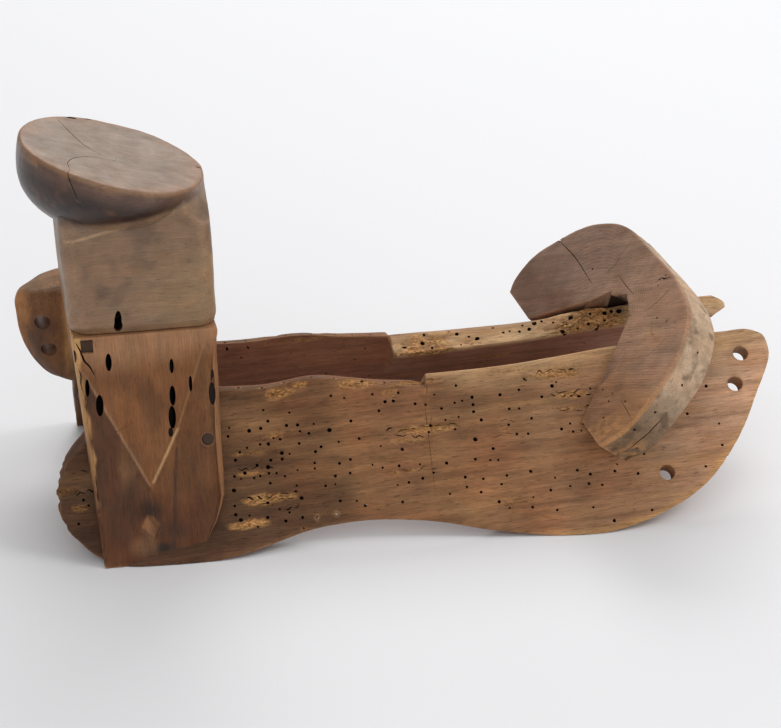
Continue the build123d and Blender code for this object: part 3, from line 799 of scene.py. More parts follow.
# %% [markdown]
# ## The cantle
# The arch was sawn from one thick board, and the saw's teeth left fine parallel lines on its flat front. It is a beam
# that follows an outer and an inner curve in one leaning plane, with a rounded rectangle as its section. Its underside
# is then cut away by the two bars' outer faces, so that it sits on them.

# %% the arch's plane and curves
ARCH_LEAN, ARCH_YAW = np.radians(40), np.radians(5)
arch_left = np.array([np.sin(ARCH_YAW), -np.cos(ARCH_YAW), 0])
arch_normal = np.array([-np.cos(ARCH_LEAN) * np.cos(ARCH_YAW), -np.cos(ARCH_LEAN) * np.sin(ARCH_YAW),
                        np.sin(ARCH_LEAN)])
arch_up = np.cross(arch_normal, arch_left)
ARCH_AT = np.array([217.0, 0, 180])
ARCH_THICK, SAW_PITCH = 34, 2.3


def arch_place(p):
    """Leftward, upward and depth behind the front face, of points."""
    q = p - ARCH_AT
    return q @ arch_left, q @ arch_up, -(q @ arch_normal)


def saw_marks(p, left, up):
    """The saw's strokes, -1 to 1: a sine across them, one wave to a tooth's pitch, shaken a little by noise."""
    return np.sin((left * 0.5 - up * 0.86) * 2 * np.pi / SAW_PITCH + 0.8 * noise(p, 30, 7))


def make_cantle():
    """Loops at 380 places along the beam; a loop goes across the front face, through the thickness, back and out."""
    t = np.linspace(0, 1, 380)
    outer = curve([(0, -140, -132), (0.035, -147, -121), (0.07, -148, -104), (0.15, -131, -72), (0.27, -101, -40),
                   (0.38, -57, -22), (0.46, -12, -21), (0.55, 40, -21), (0.65, 87, -31), (0.75, 113, -57),
                   (0.86, 122, -93), (0.95, 121, -128), (1, 110, -149)], t)
    inner = np.stack([np.interp(t, [0, 0.42, 0.45, 0.505, 0.53, 1], [-88, -11, -3, 3, 27, 71]),
                      np.interp(t, [0, 0.42, 0.45, 0.505, 0.53, 1], [-133, -66, -61, -60, -67, -148])], -1)
    torn = step(0.44, 0.46, t) * (1 - step(0.535, 0.55, t))
    jag = noise(np.c_[0 * t, t * 100, 0 * t], 1.1, 3) + 0.6 * noise(np.c_[0 * t, t * 100, 0 * t], 0.45, 4)
    inner = inner + (torn * jag * 2.0)[:, None] * (1, 1)
    share = lambda n: np.linspace(0, 1, n, endpoint=False)
    cross = np.r_[share(52), 1 + 0 * share(30), 1 - share(52), 0 * share(30)]
    deep = np.r_[0 * share(52), share(30), 1 + 0 * share(52), 1 - share(30)]
    flat = inner[:, None] + (outer - inner)[:, None] * cross[None, :, None]
    worn = 3.0 * step(0.80, 1.0, cross) * step(0.45, 1.0, deep)
    pull = (outer - inner) / (np.linalg.norm(outer - inner, axis=1, keepdims=True) + 1e-9)
    flat = flat - pull[:, None] * worn[None, :, None]
    rows = ARCH_AT + flat[..., :1] * arch_left + flat[..., 1:] * arch_up
    rows = rows - (ARCH_THICK * deep)[None, :, None] * arch_normal
    rows = soften(rows, 2)
    left, up, depth = arch_place(rows)
    band = step(0.985, 1.0, cross)[None] * step(3, 8, depth)
    lines = saw_marks(rows, left, up)
    front_face = (depth < 1.5) * (1 - step(0.93, 1, cross))[None]
    bump = 0.4 * rough(rows, 40, 2, 121) + 0.10 * rough(rows, 7, 2, 122) + 0.07 * lines * front_face
    grooves = np.clip(rough(np.stack([left * 0.25 + up * 0.1, up * 0.25, depth], -1), (4, 4, 2.2), 3, 123), -1, 1)
    bump = bump - band * (0.9 * np.clip(grooves, 0, 1) + 0.2)
    end = step(0.93, 1.0, t)[:, None] * step(0.5, 1, cross)[None]
    bump = bump - end * 2.0 * step(0.25, 1, depth / ARCH_THICK) * (1 + noise(rows, 6, 124))
    return skin("cantle_wood", close_ends(rows + outward(rows) * bump[..., None]))


def under_bar(side):
    """A solid below one bar's outer face: loops along x with corners at depths -48 and 200 and 160 mm inwards."""
    x = np.linspace(0, 330, 34)[:, None]
    s = np.array([[-48, 60, 200, 200, -48]]) + 0 * x
    i = np.array([[-0.3, -0.3, -0.3, 160, 160]]) + 0 * x
    rows = on_bar(x, s, i, side)
    return turned_out(skin("under", rows))


cantle = make_cantle()
for side in (-1, 1):
    combine(cantle, under_bar(side))


def arch_point(left, up, depth=0.0):
    left, up, depth = np.broadcast_arrays(np.asarray(left, float), up, depth)
    return ARCH_AT + left[..., None] * arch_left + up[..., None] * arch_up - depth[..., None] * arch_normal


def arch_crack(points, width, depth):
    line = path(points, 30)
    combine(cantle, crack(arch_point(*line.T), arch_normal, width, depth))


for points, width, depth in (([(-133, -72), (-92, -71), (-46, -74)], 0.5, 5), ([(-134, -71), (-126, -72.5)], 1.3, 7),
                             ([(-24, -53), (-6, -54), (13, -54)], 0.4, 3), ([(48, -30), (46, -42), (42, -55)], 0.45, 4),
                             ([(38, -23), (33, -27), (27, -30), (26, -36)], 0.8, 3),
                             ([(88, -51), (87, -62), (85, -73), (81, -88)], 0.25, 1.5),
                             ([(95, -114), (108, -115), (123, -117)], 0.35, 3),
                             ([(-44, -23), (-41, -32), (-42, -42)], 0.4, 1.5),
                             ([(-40, -42), (-37, -50), (-41, -60)], 0.4, 2),
                             ([(58, -56), (66, -62), (76, -63)], 0.25, 1.2)):
    arch_crack(points, width, depth)
rng = np.random.default_rng(5)
spots = np.array([(30, -25, 0), (32, -28, 0), (28, -31, 0), (31, -35, 0), (74, -48, 0), (60, -52, 0),
                  (83, -122, 0), (80, -116, 0), (60, -138, 0), (64, -134, 0), (-60, -66, 0),
                  (100, -112, 0), (92, -133, 0), (66, -120, 0)], float)
aim = arch_normal + rng.uniform(-0.3, 0.3, spots.shape)
combine(cantle, bores(arch_point(spots[:, 0], spots[:, 1]), aim, 1.0, 16, 9))
t = np.array([0.2, 0.5, 0.62, 0.72, 0.8, 0.88, 0.93, 0.96])
edge = curve([(0, -139, -131), (0.15, -127, -74), (0.27, -98, -43), (0.46, -12, -21.5), (0.65, 84, -34),
              (0.75, 110, -60), (0.86, 120, -95), (1, 110, -149)], t)
spots = arch_point(edge[:, 0], edge[:, 1], rng.uniform(8, 26, len(t)))
aim = (edge - (5, -110))[:, :1] * arch_left + (edge - (5, -110))[:, 1:] * arch_up
combine(cantle, bores(spots, aim, 1.1, 18, 9))
line = arch_point([120, 119, 116, 109], [-96, -112, -128, -146], [22, 20, 19, 22])
combine(cantle, crack(line, arch_left - 0.15 * arch_up, 0.8, 6, 6))
print("the cantle has", len(cantle.data.polygons), "faces")

# %% [markdown]
# ## Painting the broad colours
# Hands, straps and weather coloured each part of the tree differently. Those broad colours are worked out for every
# point of a mesh from its place, as a painter would lay them on, and stored as a colour attribute. The fine grain comes
# later from the shader. Convex edges are found from the mesh itself, so that wear falls on the real edges.

# %% colours and marks on points
def tint(*rgb):
    """A display colour, 0 to 255, as linear light: ((c + 0.055) / 1.055)^2.4."""
    c = np.array(rgb, float) / 255
    return np.where(c < 0.04045, c / 12.92, ((c + 0.055) / 1.055) ** 2.4)


def coat(colour, over, share):
    """Lays one colour over others: share 0 leaves them and 1 hides them."""
    return colour + (np.asarray(over) - colour) * np.clip(share, 0, 1)[:, None]


def coats(colour, *layers):
    """Lays one coat after another: each is red, green, blue and its share."""
    for *rgb, share in layers:
        colour = coat(colour, tint(*rgb), share)
    return colour


def mark(piece, name, values):
    """Stores a number, a vector or a colour for each point of a piece."""
    values = np.asarray(values, np.float32)
    kind, field = {1: ("FLOAT", "value"), 3: ("FLOAT_VECTOR", "vector"), 4: ("FLOAT_COLOR", "color")}[
        1 if values.ndim == 1 else values.shape[1]]
    piece.data.attributes.new(name, kind, "POINT").data.foreach_set(field, values.ravel())


def edge_wear(piece, rounds=4):
    """Above 0 on convex edges: how far a point stands out of its neighbours' mean, along its normal, spread round."""
    mesh, p = piece.data, points_of(piece)
    ends = np.empty(len(mesh.edges) * 2, np.int32)
    mesh.edges.foreach_get("vertices", ends)
    ends = ends.reshape(-1, 2)
    normal = np.empty(len(p) * 3, np.float32)
    mesh.vertices.foreach_get("normal", normal)
    count = np.bincount(ends.ravel(), minlength=len(p))
    gather = lambda v, here, there: np.bincount(ends[:, here], v[ends[:, there]], len(p))
    mean = lambda v: (gather(v, 0, 1) + gather(v, 1, 0)) / count
    stand = p - np.stack([mean(p[:, k]) for k in range(3)], 1)
    out = np.sum(stand * normal.reshape(-1, 3), 1)
    cut = np.empty(len(p), np.float32)
    mesh.attributes["cut"].data.foreach_get("value", cut)
    near = (cut > 0).astype(float)
    for _ in range(rounds):
        out = 0.5 * out + 0.5 * mean(out)
    for _ in range(rounds + 3):
        near = np.maximum(near, (mean(near) > 0).astype(float))
    return out * (1 - near)


def finish_piece(piece, grain, colour, eaten_share=None, polish=None):
    """Stores the marks, smooths the shading between faces, and keeps real corners sharp."""
    mark(piece, "polish", np.zeros(len(colour)) if polish is None else polish)
    mark(piece, "grain", grain * 0.001)
    mark(piece, "wood_colour", np.c_[np.clip(colour, 0, 1), np.ones(len(colour))])
    mark(piece, "eaten", np.zeros(len(colour)) if eaten_share is None else eaten_share)
    piece.data.shade_smooth()
    piece.data.set_sharp_from_angle(angle=np.radians(38))
    piece.data.update()


# %% [markdown]
# The bars are painted brown in front, partly as grease and partly as the shade that the fork casts on them, and paler
# towards the rear points. Their inner faces are dark red-brown. Broken and eaten places show the golden wood below.

# %% the bars' colours
def colour_bar(piece, side, patches, seed):
    p = points_of(piece)
    x, s, i = bar_place(p)
    deep = i / bar_depth(x, s, side)
    stops = [-275, -190, -120, -62, -50, 0, 12, 60, 150, 215, 287]
    browns = [(92, 61, 42), (92, 64, 44), (106, 76, 50), (112, 79, 52), (136, 96, 64), (142, 99, 68),
              (140, 99, 66), (144, 103, 70), (160, 119, 88), (172, 132, 104), (206, 168, 136)]
    shades = np.array([tint(*brown) for brown in browns])
    wander = x + 14 * rough(p, 60, 2, seed)
    colour = np.stack([np.interp(wander, stops, shades[:, k]) for k in range(3)], 1)
    clouds = rough(p, (60, 26, 26), 3, seed + 1)
    colour = coats(
        colour,
        (84, 56, 40, 0.5 * step(0.1, 1.1, clouds)),
        (166, 124, 84, 0.42 * step(0.1, 1.1, -clouds)))
    long_streaks = rough(np.stack([x, s, i], 1), (90, 5, 12), 3, seed + 2)
    colour = coats(
        colour,
        (92, 60, 42, 0.34 * step(0.2, 1.0, long_streaks)),
        (176, 132, 86, 0.36 * step(0.3, 1.1, -long_streaks) * (0.4 + 0.6 * step(-20, 60, x))))
    red = rough(p, 45, 2, seed + 3)
    colour = colour * (1 + np.array([0.05, -0.06, -0.1]) * np.clip(red, -1, 1)[:, None])
    inside = step(0.55, 1.0, deep)
    colour = coats(
        colour,
        (150, 101, 76, 0.9 * inside),
        (72, 48, 34, 0.6 * step(50, 105, s) * step(-30, -100, x) * step(0.55, 0.2, deep)))
    wear = edge_wear(piece)
    colour = coat(colour, tint(158, 116, 80), 0.55 * step(0.02, 0.12, wear))
    top, bottom = bar_outline(x, *((BAR_FRONT, BAR_REAR) if side < 0 else (right_low[0], right_high[0])), side)
    crest = step(9, 2, s - top) * step(STOP[side] - 1, STOP[side] + 2, x)
    colour = coat(colour, tint(196, 164, 124), (0.8 if side > 0 else 0.4) * crest)
    shoulder = step(30, 3, s - top + 8 * clouds) * step(STOP[side] + 2, STOP[side] + 40, x) * step(0.6, 0.2, deep)
    colour = coat(colour, tint(182, 146, 106), 0.6 * shoulder)
    lower = step(9, 1, bottom - s + 3 * clouds)
    colour = coats(
        colour,
        (104, 72, 52, 0.35 * lower * step(80, 60, x)),
        (196, 150, 98, 0.65 * lower * step(70, 110, x) * step(0.7, 0.3, deep)))
    gone = eaten(p, patches, seed + 4)
    colour = coat(colour, tint(186, 138, 86), 0.8 * step(0.15, 0.9, gone))
    # painted shade under the fork's legs, with their grease: the bar is darkened forward of x = -150
    fork_shade_and_grease = step(-150, -158, x)
    colour = coat(colour, tint(78, 54, 40), 0.35 * fork_shade_and_grease)
    finish_piece(piece, np.stack([x, s + 0.04 * x, i], 1), colour, np.clip(gone, 0, 1))


colour_bar(left_bar, -1, left_patches, 211)
colour_bar(right_bar, 1, right_patches, 241)

# %% [markdown]
# The leg is brown inside the V, with painted shade on its falling flanks and painted highlights on the ridges between
# them. Its split front edge shows straw-coloured fibres, and grease has stained it near the V's tip and the foot.

# %% the legs' colours
def spot(x, z, at, size):
    """1 at a place, fading to 0 at one size away from it, in the (x, z) plane."""
    return step(1.0, 0.15, np.hypot((x - at[0]) / size[0], (z - at[1]) / size[1]))


def ridge_line(x, z, a, b, width):
    """1 on the line from a to b and 0 at a width from it."""
    a, b = np.array(a, float), np.array(b, float)
    t = np.clip(((x - a[0]) * (b - a)[0] + (z - a[1]) * (b - a)[1]) / np.sum((b - a) ** 2), 0, 1)
    return step(width, 0, np.hypot(x - a[0] - t * (b - a)[0], z - a[1] - t * (b - a)[1]))


def colour_leg(piece, side, seed):
    p = points_of(piece)
    x, z = p[:, 0], p[:, 2]
    deep = (leg_out(z) - np.abs(p[:, 1])) * 0.913
    left = below_line(x, z, V_TIP, V_FRONT)
    right = below_line(x, z, V_REAR, V_TIP)
    colour = np.tile(tint(126, 82, 48), (len(p), 1))
    # painted shade on the V's two flanks, and darker towards the foot
    colour = coats(
        colour,
        (90, 56, 34, step(-1, 1.2, left) * step(150, 120, z)),
        (114, 74, 43, step(-1, 1.2, right) * step(0, 6, right - left)),
        (94, 56, 31, step(60, 30, z)))
    clouds = rough(p, (22, 22, 34), 3, seed)
    colour = coats(
        colour,
        (66, 43, 30, 0.45 * step(0.1, 1.1, clouds)),
        (150, 108, 70, 0.4 * step(0.15, 1.2, -clouds)),
        (172, 130, 96, 0.65 * step(130, 152, z + 8 * clouds)))
    for at, size, depth in (((-200, 9), (15, 8), 0.9), ((-205, 36), (15, 12), 0.75), ((-188, 22), (20, 10), 0.35),
                            ((-216, 70), (12, 18), 0.3), ((-222, 46), (14, 14), 0.35)):
        colour = coat(colour, tint(38, 28, 24), depth * spot(x + 4 * clouds, z + 3 * clouds, at, size))
    colour = coats(
        colour,
        (128, 92, 62, 0.6 * spot(x, z, (-212, 12), (16, 10))),
        # the chipped diamond: painted light on its left facet and painted shade on its right one
        (156, 112, 76, 0.85 * step(1.05, 0.85, chip(x, z)) * step(4, -3, x + 205)),
        (122, 84, 56, 0.8 * step(1.05, 0.85, chip(x, z)) * step(-3, 4, x + 205)),
        # painted highlights along the V's two ridges
        (166, 126, 96, 0.75 * ridge_line(x, z, (-246, 133), (-204, 54), 1.4)),
        (196, 156, 110, 0.85 * ridge_line(x, z, (-180, 90), (-201, 56), 1.8)),
        (156, 114, 78, 0.65 * ridge_line(x, z, (-156, 146), (-180, 90), 1.3)),
        (60, 42, 34, 0.7 * ridge_line(x, z, (-182, 76), (-190, 8), 2.0)),
        (60, 46, 38, 0.5 * spot(x, z, (-161, 78), (5, 9))))
    frayed = x + 2.5 * rough(p, (4, 4, 22), 2, seed + 1)
    strip = step(-246, -249.5, frayed + (157 - z) * -0.05) * step(2, 14, z)
    colour = coats(
        colour,
        (206, 160, 104, (0.8 if side < 0 else 0.5) * strip * step(60, 110, z + 30 * clouds)),
        (118, 80, 52, 0.6 * step(-243, -246, frayed) * step(90, 50, z)))
    wear = edge_wear(piece)
    colour = coat(colour, tint(164, 120, 84), 0.5 * step(0.02, 0.12, wear))
    behind = step(6, 20, deep) * (x > -245)
    colour = coat(colour, tint(88, 58, 42), 0.7 * behind)
    if side > 0:  # the ear, orange-brown inside and tan on its sloping top
        ear = step(-250, -254, x)
        colour = coats(
            colour,
            (122, 84, 54, ear),
            (86, 58, 44, 0.8 * ear * step(0.0, 0.9, rough(p, (13, 13, 20), 3, seed + 3))),
            (176, 122, 74, 0.7 * ear * step(-274, -284, x + 6 * clouds)),
            (150, 122, 98, 0.85 * ear * step(150, 155, z + (p[:, 1] - 46) * 0.15)))
    finish_piece(piece, np.stack([z - 0.03 * x, x, deep], 1), colour)


colour_leg(left_leg, -1, 311)
colour_leg(right_leg, 1, 331)

# %% [markdown]
# The horn's top is a worn grey tan. Its bowl is dark polished wood, painted darker still as shade on its downward
# sides, with a painted purplish sheen below the rim, and the post between them is brown with dark clouds. A grey
# sheen is painted on the post's polished lower edge.

# %% the post's and horn's colours
def colour_post(piece, seed):
    p = points_of(piece)
    x, y, z = p.T
    radius = np.hypot(x - HORN_X, y)
    colour = np.tile(tint(138, 109, 82), (len(p), 1))
    clouds = rough(p, (20, 20, 20), 4, seed)
    colour = coats(
        colour,
        (88, 68, 56, 0.55 * step(-0.1, 1.0, clouds)),
        (156, 126, 94, 0.5 * step(0.1, 1.2, -clouds)),
        (104, 84, 72, 0.5 * step(215, 250, z + 6 * clouds) * step(-190, -230, x)),
        (158, 128, 86, 0.35 * step(-215, -160, x + 12 * clouds) * step(235, 190, z)),
        (148, 98, 54, 0.65 * step(172, 160, z + 3 * clouds) * step(-225, -245, x + 9 * clouds)),
        # a painted grey sheen on the post's polished lower front edge
        (128, 106, 98, 0.7 * step(9, 1, np.abs(z - 171 - 0.25 * (x + 200))) * step(-240, -250, x)))
    above = z - (HORN_TOP - np.tan(HORN_TILT) * (x - HORN_X))
    bowl = step(246, 252, z - 0.12 * (x - HORN_X) - 0.10 * (radius - 50)) * step(38, 50, radius)
    # the bowl: dark polished wood, painted darker still as shade on its downward sides
    colour = coats(
        colour,
        (46, 28, 20, 0.95 * bowl),
        (26, 17, 14, 0.8 * bowl * step(0.0, 0.9, rough(p, (16, 16, 14), 4, seed + 1))),
        (104, 68, 46, 0.55 * bowl * step(0.2, 1.0, rough(p, (9, 9, 9), 3, seed + 2))))
    # a painted purplish sheen on the bowl just below the top's edge
    rim = step(-20, -7, above) * bowl
    colour = coat(colour, tint(112, 84, 70), 0.6 * rim)
    top = step(-5.5, -1.0, above)
    colour = coats(
        colour,
        (130, 106, 84, top),
        (112, 88, 70, 0.5 * top * step(0.0, 0.9, rough(p, (90, 2.6, 2.6), 3, seed + 3))),
        (152, 112, 78, 0.7 * step(5.5, 1.0, np.abs(above + 4.5)) * bowl * step(-0.4, 0.7, clouds)),
        (150, 104, 66, 0.5 * top * step(54, 64, radius + 4 * clouds)))
    scratch = ridge_line(x, z, (-253, 232), (-211, 242), 2.0) * step(-40, -46, y)
    colour = coat(colour, tint(176, 144, 110), 0.9 * scratch)
    wear = edge_wear(piece)
    colour = coat(colour, tint(170, 136, 106), 0.45 * step(0.03, 0.14, wear))
    polish = np.clip(0.85 * bowl * (1 - top) + 0.7 * step(10, 2, np.abs(z - 168)) * step(-235, -250, x), 0, 1)
    finish_piece(piece, np.stack([x, y, z], 1), colour, polish=polish)


colour_post(post, 411)

# %% [markdown]
# The arch's sawn front is an even purplish brown with the saw's lines across it. The rounded outer band was weathered
# grey, with painted shade towards its lower ends, the arch's underside over the bars is painted dark as shade, and
# the end of its left arm is rubbed to bare golden wood.

# %% the cantle's colours
def colour_cantle(piece, seed):
    p = points_of(piece)
    left, up, depth = arch_place(p)
    clouds = rough(p, 34, 3, seed)
    shares = step(-110, 60, left)[:, None]
    colour = tint(138, 111, 94) * (1 - shares) + tint(164, 128, 103) * shares
    colour = coats(
        colour,
        (104, 79, 66, 0.35 * step(0.1, 1.1, clouds)),
        (160, 127, 102, 0.4 * step(0.2, 1.2, -clouds)))
    lines = saw_marks(p, left, up)
    colour = colour * (1 + 0.14 * lines * (depth < 2))[:, None]
    colour = coat(colour, tint(116, 86, 70), 0.85 * step(-80, -112, up + 10 * clouds) * (depth < 3))
    band = step(2.0, 6.0, depth)
    band_weathering_and_shade = tint(190, 163, 135) * np.ones((len(p), 1))
    # painted shade on the band's lower ends
    band_weathering_and_shade = coat(band_weathering_and_shade, tint(120, 98, 76), step(-70, -125, up))
    band_weathering_and_shade = coat(band_weathering_and_shade, tint(92, 74, 56), 0.7 * step(0.1, 0.9, rough(p, (9, 9, 9), 3, seed + 1)))
    colour = coat(colour, band_weathering_and_shade, band)
    rubbed = step(3.4, 1.0, np.abs(depth - 2.2)) * step(-60, -100, up + 24 * clouds) * (left > 60)
    colour = coat(colour, tint(184, 132, 82), 0.8 * rubbed)
    inner = np.maximum(ridge_line(left, up, (-88, -133), (-11, -66), 16),  # painted shade on the arch's own underside, above the bars
                       ridge_line(left, up, (-11, -66), (27, -67), 12))
    colour = coat(colour, tint(58, 40, 30), 0.9 * step(0.05, 0.4, inner) * step(1.5, 5, depth))
    golden = step(70, 92, left + 16 * clouds) * step(-116, -134, up + 9 * clouds)
    colour = coat(colour, tint(196, 146, 94), 0.5 * golden * step(-0.3, 0.5, rough(p, (5, 5, 5), 2, seed + 2)))
    wear = edge_wear(piece)
    colour = coat(colour, tint(176, 134, 100), 0.4 * step(0.02, 0.12, wear))
    turn = np.radians(35)
    along = left * np.cos(turn) + up * np.sin(turn)
    across = up * np.cos(turn) - left * np.sin(turn)
    finish_piece(piece, np.stack([along, across, depth], 1), colour)


colour_cantle(cantle, 511)

# %% [markdown]
# ## The wood's shader
# One shader serves every piece, and only its gloss and the strength of its grain differ. It reads the point colours and
# the grain coordinates. Noise stretched along the grain makes streaks and fibres, and a sharper one makes pores.
# Eaten places are crumbly and speckled, and walls that a borer left are painted dark, as shade inside the holes.

# %% a shader from small steps
def add(tree, kind, inputs=(), **settings):
    """One shader node: settings are its options, and inputs gives sockets a number, a colour or another output."""
    made = tree.nodes.new("ShaderNode" + kind)
    for option, value in settings.items():
        setattr(made, option, value)
    for socket, value in dict(inputs).items():
        if isinstance(value, bpy.types.NodeSocket):
            tree.links.new(value, made.inputs[socket])
        else:
            made.inputs[socket].default_value = value
    return made


def spread(tree, value, low, high, to_low=0.0, to_high=1.0):
    """Maps low..high to to_low..to_high, and holds it there."""
    given = {"Value": value, "From Min": low, "From Max": high, "To Min": to_low, "To Max": to_high}
    return add(tree, "MapRange", given).outputs[0]


def grained(tree, where, stretch, detail=3.0, rough_share=0.55):
    """Noise of one cell per unit after the coordinates are multiplied: cells per metre along, across and into."""
    moved = add(tree, "VectorMath", {0: where, 1: stretch}, operation="MULTIPLY").outputs[0]
    given = {"Vector": moved, "Scale": 1.0, "Detail": detail, "Roughness": rough_share}
    return add(tree, "TexNoise", given).outputs[0]


def laid(tree, share, below, above, kind="MIX"):
    """Two colours mixed by a share."""
    return add(tree, "Mix", {0: share, 6: below, 7: above}, data_type="RGBA", blend_type=kind).outputs[2]


def times(tree, a, b):
    return add(tree, "Math", {0: a, 1: b}, operation="MULTIPLY").outputs[0]


def plus(tree, a, b):
    return add(tree, "Math", {0: a, 1: b}, operation="ADD").outputs[0]


def blank(name):
    """A new material and its node tree, emptied."""
    material = bpy.data.materials.new(name)
    material.use_nodes = True
    material.node_tree.nodes.clear()
    return material, material.node_tree


def old_wood(name, gloss, grain_strength, mottle_size=30.0, sheen=0.35, depth=0.0007):
    """Point colour, times mottle, streaks, fibres and pores; roughness and bump follow the same noises."""
    material, tree = blank(name)
    colour = add(tree, "Attribute", attribute_name="wood_colour").outputs[0]
    grain = add(tree, "Attribute", attribute_name="grain").outputs[1]
    eaten_here = add(tree, "Attribute", attribute_name="eaten").outputs[2]
    cut = add(tree, "Attribute", attribute_name="cut").outputs[2]
    mottle = grained(tree, grain, (mottle_size, mottle_size, mottle_size), 5.0, 0.6)
    streaks = grained(tree, grain, (11.0, 150.0, 120.0), 4.0)
    fibres = grained(tree, grain, (70.0, 1300.0, 1300.0), 2.0)
    specks = grained(tree, grain, (900.0, 900.0, 900.0), 2.0)
    dashes = grained(tree, grain, (130.0, 900.0, 900.0), 1.0)
    both = lambda value, amount: spread(tree, value, 0.32, 0.68, 1 - amount, 1 + amount)
    shade = times(tree, both(mottle, 0.13), both(streaks, 0.2 * grain_strength))
    shade = times(tree, shade, both(fibres, 0.2 * grain_strength))
    shade = times(tree, shade, both(specks, 0.06))
    shade = times(tree, shade, spread(tree, dashes, 0.62, 0.72, 1.0, 1 - 0.4 * grain_strength))
    crumbs = spread(tree, grained(tree, grain, (420.0, 620.0, 620.0), 3.0), 0.4, 0.6, 0.45, 1.3)
    crumbs = laid(tree, eaten_here, (1, 1, 1, 1), crumbs)
    shade = times(tree, shade, crumbs)
    wooden = add(tree, "VectorMath", {0: colour, "Scale": shade}, operation="SCALE").outputs[0]
    warm = spread(tree, grained(tree, grain, (24.0, 60.0, 60.0), 3.0), 0.4, 0.65, 0.0, 0.5)
    warmer = add(tree, "VectorMath", {0: wooden, 1: (1.08, 0.94, 0.84)}, operation="MULTIPLY").outputs[0]
    wooden = laid(tree, warm, wooden, warmer)
    # painted shade on the walls that a cut left
    wooden = laid(tree, spread(tree, cut, 0.01, 0.16), wooden, (*tint(34, 22, 15), 1))
    high = plus(tree, times(tree, fibres, 0.35 * grain_strength), times(tree, streaks, 0.4))
    high = plus(tree, high, times(tree, specks, 0.3))
    high = plus(tree, high, times(tree, dashes, -0.3 * grain_strength))
    bump = add(tree, "Bump", {"Strength": 0.55, "Distance": depth, "Height": high}).outputs[0]
    polish = add(tree, "Attribute", attribute_name="polish").outputs[2]
    matt = spread(tree, mottle, 0.3, 0.7, gloss + 0.1, gloss - 0.08)
    matt = laid(tree, polish, matt, (0.3, 0.3, 0.3, 1))
    matt = laid(tree, eaten_here, matt, (0.92, 0.92, 0.92, 1))
    finish = {"Base Color": wooden, "Roughness": matt, "Normal": bump, "Specular IOR Level": sheen}
    add(tree, "OutputMaterial", {"Surface": add(tree, "BsdfPrincipled", finish).outputs[0]})
    print("material", name, "has", len(tree.nodes), "nodes")
    return material


bar_wood = old_wood("bar wood", 0.66, 1.0, 34.0, 0.20)
leg_wood = old_wood("leg wood", 0.56, 0.7, 55.0, 0.26)
horn_wood = old_wood("horn wood", 0.46, 0.6, 60.0, 0.5, 0.0005)
cantle_wood = old_wood("cantle wood", 0.64, 0.8, 45.0, 0.22)


def settle(piece, finish, node):
    """Gives a piece its only material, hangs it under the root body, and hides the CAD node that it stands for."""
    piece.data.materials.clear()
    piece.data.materials.append(finish)
    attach(piece, "root")
    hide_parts(node)


settle(left_bar, bar_wood, "left_bar")
settle(right_bar, bar_wood, "right_bar")
settle(left_leg, leg_wood, "left_fork_leg")
settle(right_leg, leg_wood, "right_fork_leg")
settle(post, horn_wood, "horn_post")
settle(cantle, cantle_wood, "cantle")

# %% [markdown]
# ## The pegs
# The fork's pegs were cut off flush and have shrunk a little into their holes. The front one through both legs was
# trimmed square. They are tubes between two points, dark at their end grain. The cantle's pegs are hidden in the wood,
# so their CAD shapes stay and only get the same finish.

# %% pegs
def rods(name, starts, ends, radius, sides, finish, node, slot, flat=None):
    """Closed tubes between pairs of points, as one piece that stands for a CAD node."""
    starts, ends = np.array(starts, float), np.array(ends, float)
    piece = bores((starts + ends) / 2, ends - starts, radius, np.linalg.norm(ends - starts, axis=1), sides, flat)
    piece.name = piece.data.name = name
    p = points_of(piece)
    tag(piece, 0.0)
    finish_piece(piece, p[:, [1, 0, 2]], np.tile(tint(66, 48, 36), (len(p), 1)))
    settle(piece, finish, node)


def leg_peg(side):
    """The two pegs of one leg: the front one ends deeper, under the skin."""
    ends = []
    for at, inset in ((REAR_PEG, 3.0), (FOOT_PEG, 6.5)):
        base, out = on_bar(*at, 0, side), bar_out(at[0], side)
        gap = (leg_out(base[2]) - abs(base[1])) / (abs(out[1]) + LEG_SLOPE * out[2])
        ends.append((base - 9 * out, base + (gap - inset) * out))
    return zip(*ends)


cross_reach = leg_out(148.0)
plug, hidden = cross_reach - 1.2, cross_reach - 6  # the square plug shows, and the rear peg ends under the skin
rods("fork_cross_pegs_wood", [(PLUG_X, -plug, PLUG_Z), (-162, -hidden, 148)],
     [(PLUG_X, plug, PLUG_Z), (-162, hidden, 148)], [PLUG_RADIUS, PEG_RADIUS], 4, leg_wood,
     "fork_cross_pegs", "peg_wood", ((1, 0, 1), 1))
for side, word in ((-1, "left"), (1, "right")):
    rods(word + "_leg_pegs_wood", *leg_peg(side), PEG_RADIUS, 20, leg_wood, word + "_leg_pegs", "peg_wood")


def peg_finish(name):
    """Dark dense wood: noise in Object coordinates, mixed between two browns."""
    material, tree = blank(name)
    where = add(tree, "TexCoord").outputs[3]
    mottle = grained(tree, where, (300.0, 300.0, 300.0), 3.0)
    wooden = laid(tree, spread(tree, mottle, 0.35, 0.65), (*tint(52, 38, 30), 1), (*tint(104, 76, 54), 1))
    body = add(tree, "BsdfPrincipled", {"Base Color": wooden, "Roughness": 0.7, "Specular IOR Level": 0.3})
    add(tree, "OutputMaterial", {"Surface": body.outputs[0]})
    return material


peg_wood = peg_finish("peg wood")
for word in ("left", "right"):
    node = frame["nodes"][word + "_cantle_pegs"]
    node.data.materials.clear()
    node.data.materials.append(peg_wood)

# %% [markdown]
# ## Floor, light and camera
# A plain pale floor runs far behind the tree, so no horizon shows. A big soft light hangs overhead, a smaller one on
# the right gives the tree its shadows, one behind lifts the far floor, and a weak one in front opens the shadows.

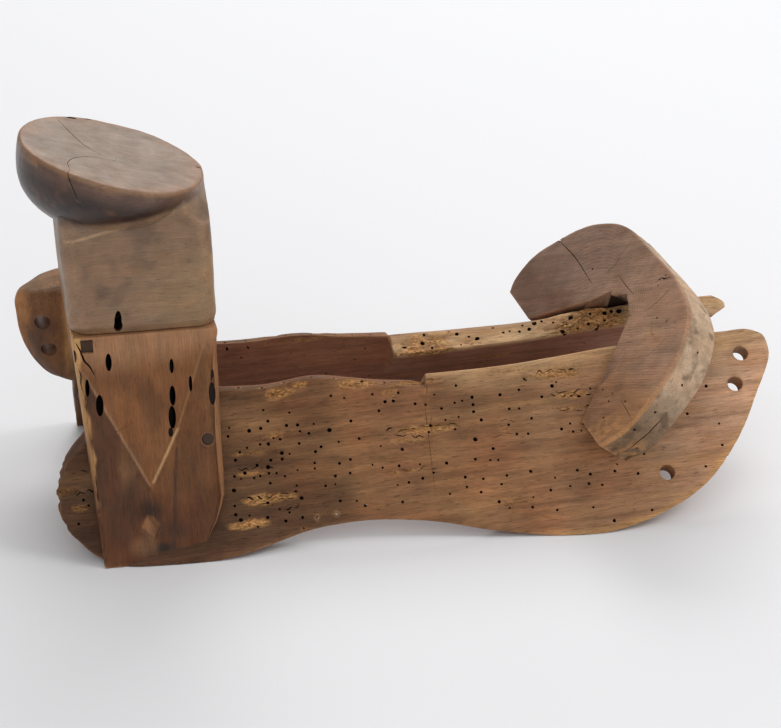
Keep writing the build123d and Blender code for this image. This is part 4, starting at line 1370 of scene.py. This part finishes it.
# %% the studio
floor_mesh = bpy.data.meshes.new("floor")
floor_mesh.from_pydata([(-9, -6, 0), (9, -6, 0), (9, 14, 0), (-9, 14, 0)], [], [(0, 1, 2, 3)])
floor = bpy.data.objects.new("floor", floor_mesh)
bpy.context.scene.collection.objects.link(floor)
paper = bpy.data.materials.new("floor paper")
paper.use_nodes = True
paper.node_tree.nodes["Principled BSDF"].inputs["Base Color"].default_value = (*tint(236, 236, 238), 1)
paper.node_tree.nodes["Principled BSDF"].inputs["Roughness"].default_value = 0.6
paper.node_tree.nodes["Principled BSDF"].inputs["Specular IOR Level"].default_value = 0.2
floor_mesh.materials.append(paper)

world = bpy.data.worlds.new("studio")
bpy.context.scene.world = world
world.use_nodes = True
world.node_tree.nodes["Background"].inputs["Color"].default_value = (1.0, 1.0, 1.0, 1)
world.node_tree.nodes["Background"].inputs["Strength"].default_value = 0.46


def soft_light(name, size, power, at, aim):
    """A square area light of the given side in metres, turned towards a point."""
    lamp = bpy.data.lights.new(name, "AREA")
    lamp.shape, lamp.size, lamp.energy = "SQUARE", size, power
    light = bpy.data.objects.new(name, lamp)
    bpy.context.scene.collection.objects.link(light)
    light.location = at
    light.rotation_euler = Vector(np.subtract(at, aim)).to_track_quat("Z", "Y").to_euler()
    return light


soft_light("overhead", 2.6, 14, (0.7, 1.0, 2.2), (0, 0.1, 0.1))
soft_light("right", 0.8, 17, (1.9, -0.5, 1.9), (0.1, 0, 0.1))
soft_light("behind", 3.0, 120, (0.6, 4.4, 3.2), (0.3, 3.6, 0.0))
soft_light("front", 2.4, 15, (-0.8, -2.6, 1.5), (0, 0, 0.15))

# %% [markdown]
# The camera stands 2.17 m from the tree, a little to its left front, and looks down at 26.5 degrees.

# %% the camera
azimuth, elevation, distance = np.radians(-10.8), np.radians(26.5), 2.170
back = Vector((np.sin(azimuth) * np.cos(elevation), -np.cos(azimuth) * np.cos(elevation), np.sin(elevation)))
camera_data = bpy.data.cameras.new("camera")
camera_data.sensor_width, camera_data.lens = 36, 129.07
camera = bpy.data.objects.new("camera", camera_data)
bpy.context.scene.collection.objects.link(camera)
camera.location = Vector((-0.0049, 0, 0.0885)) + distance * back
camera.rotation_euler = back.to_track_quat("Z", "Y").to_euler()
bpy.context.scene.camera = camera
bpy.context.scene.view_settings.view_transform = "Standard"

# %% [markdown]
# ## The last update
# The view layer is brought up to date.

# %% finish
bpy.context.view_layer.update()
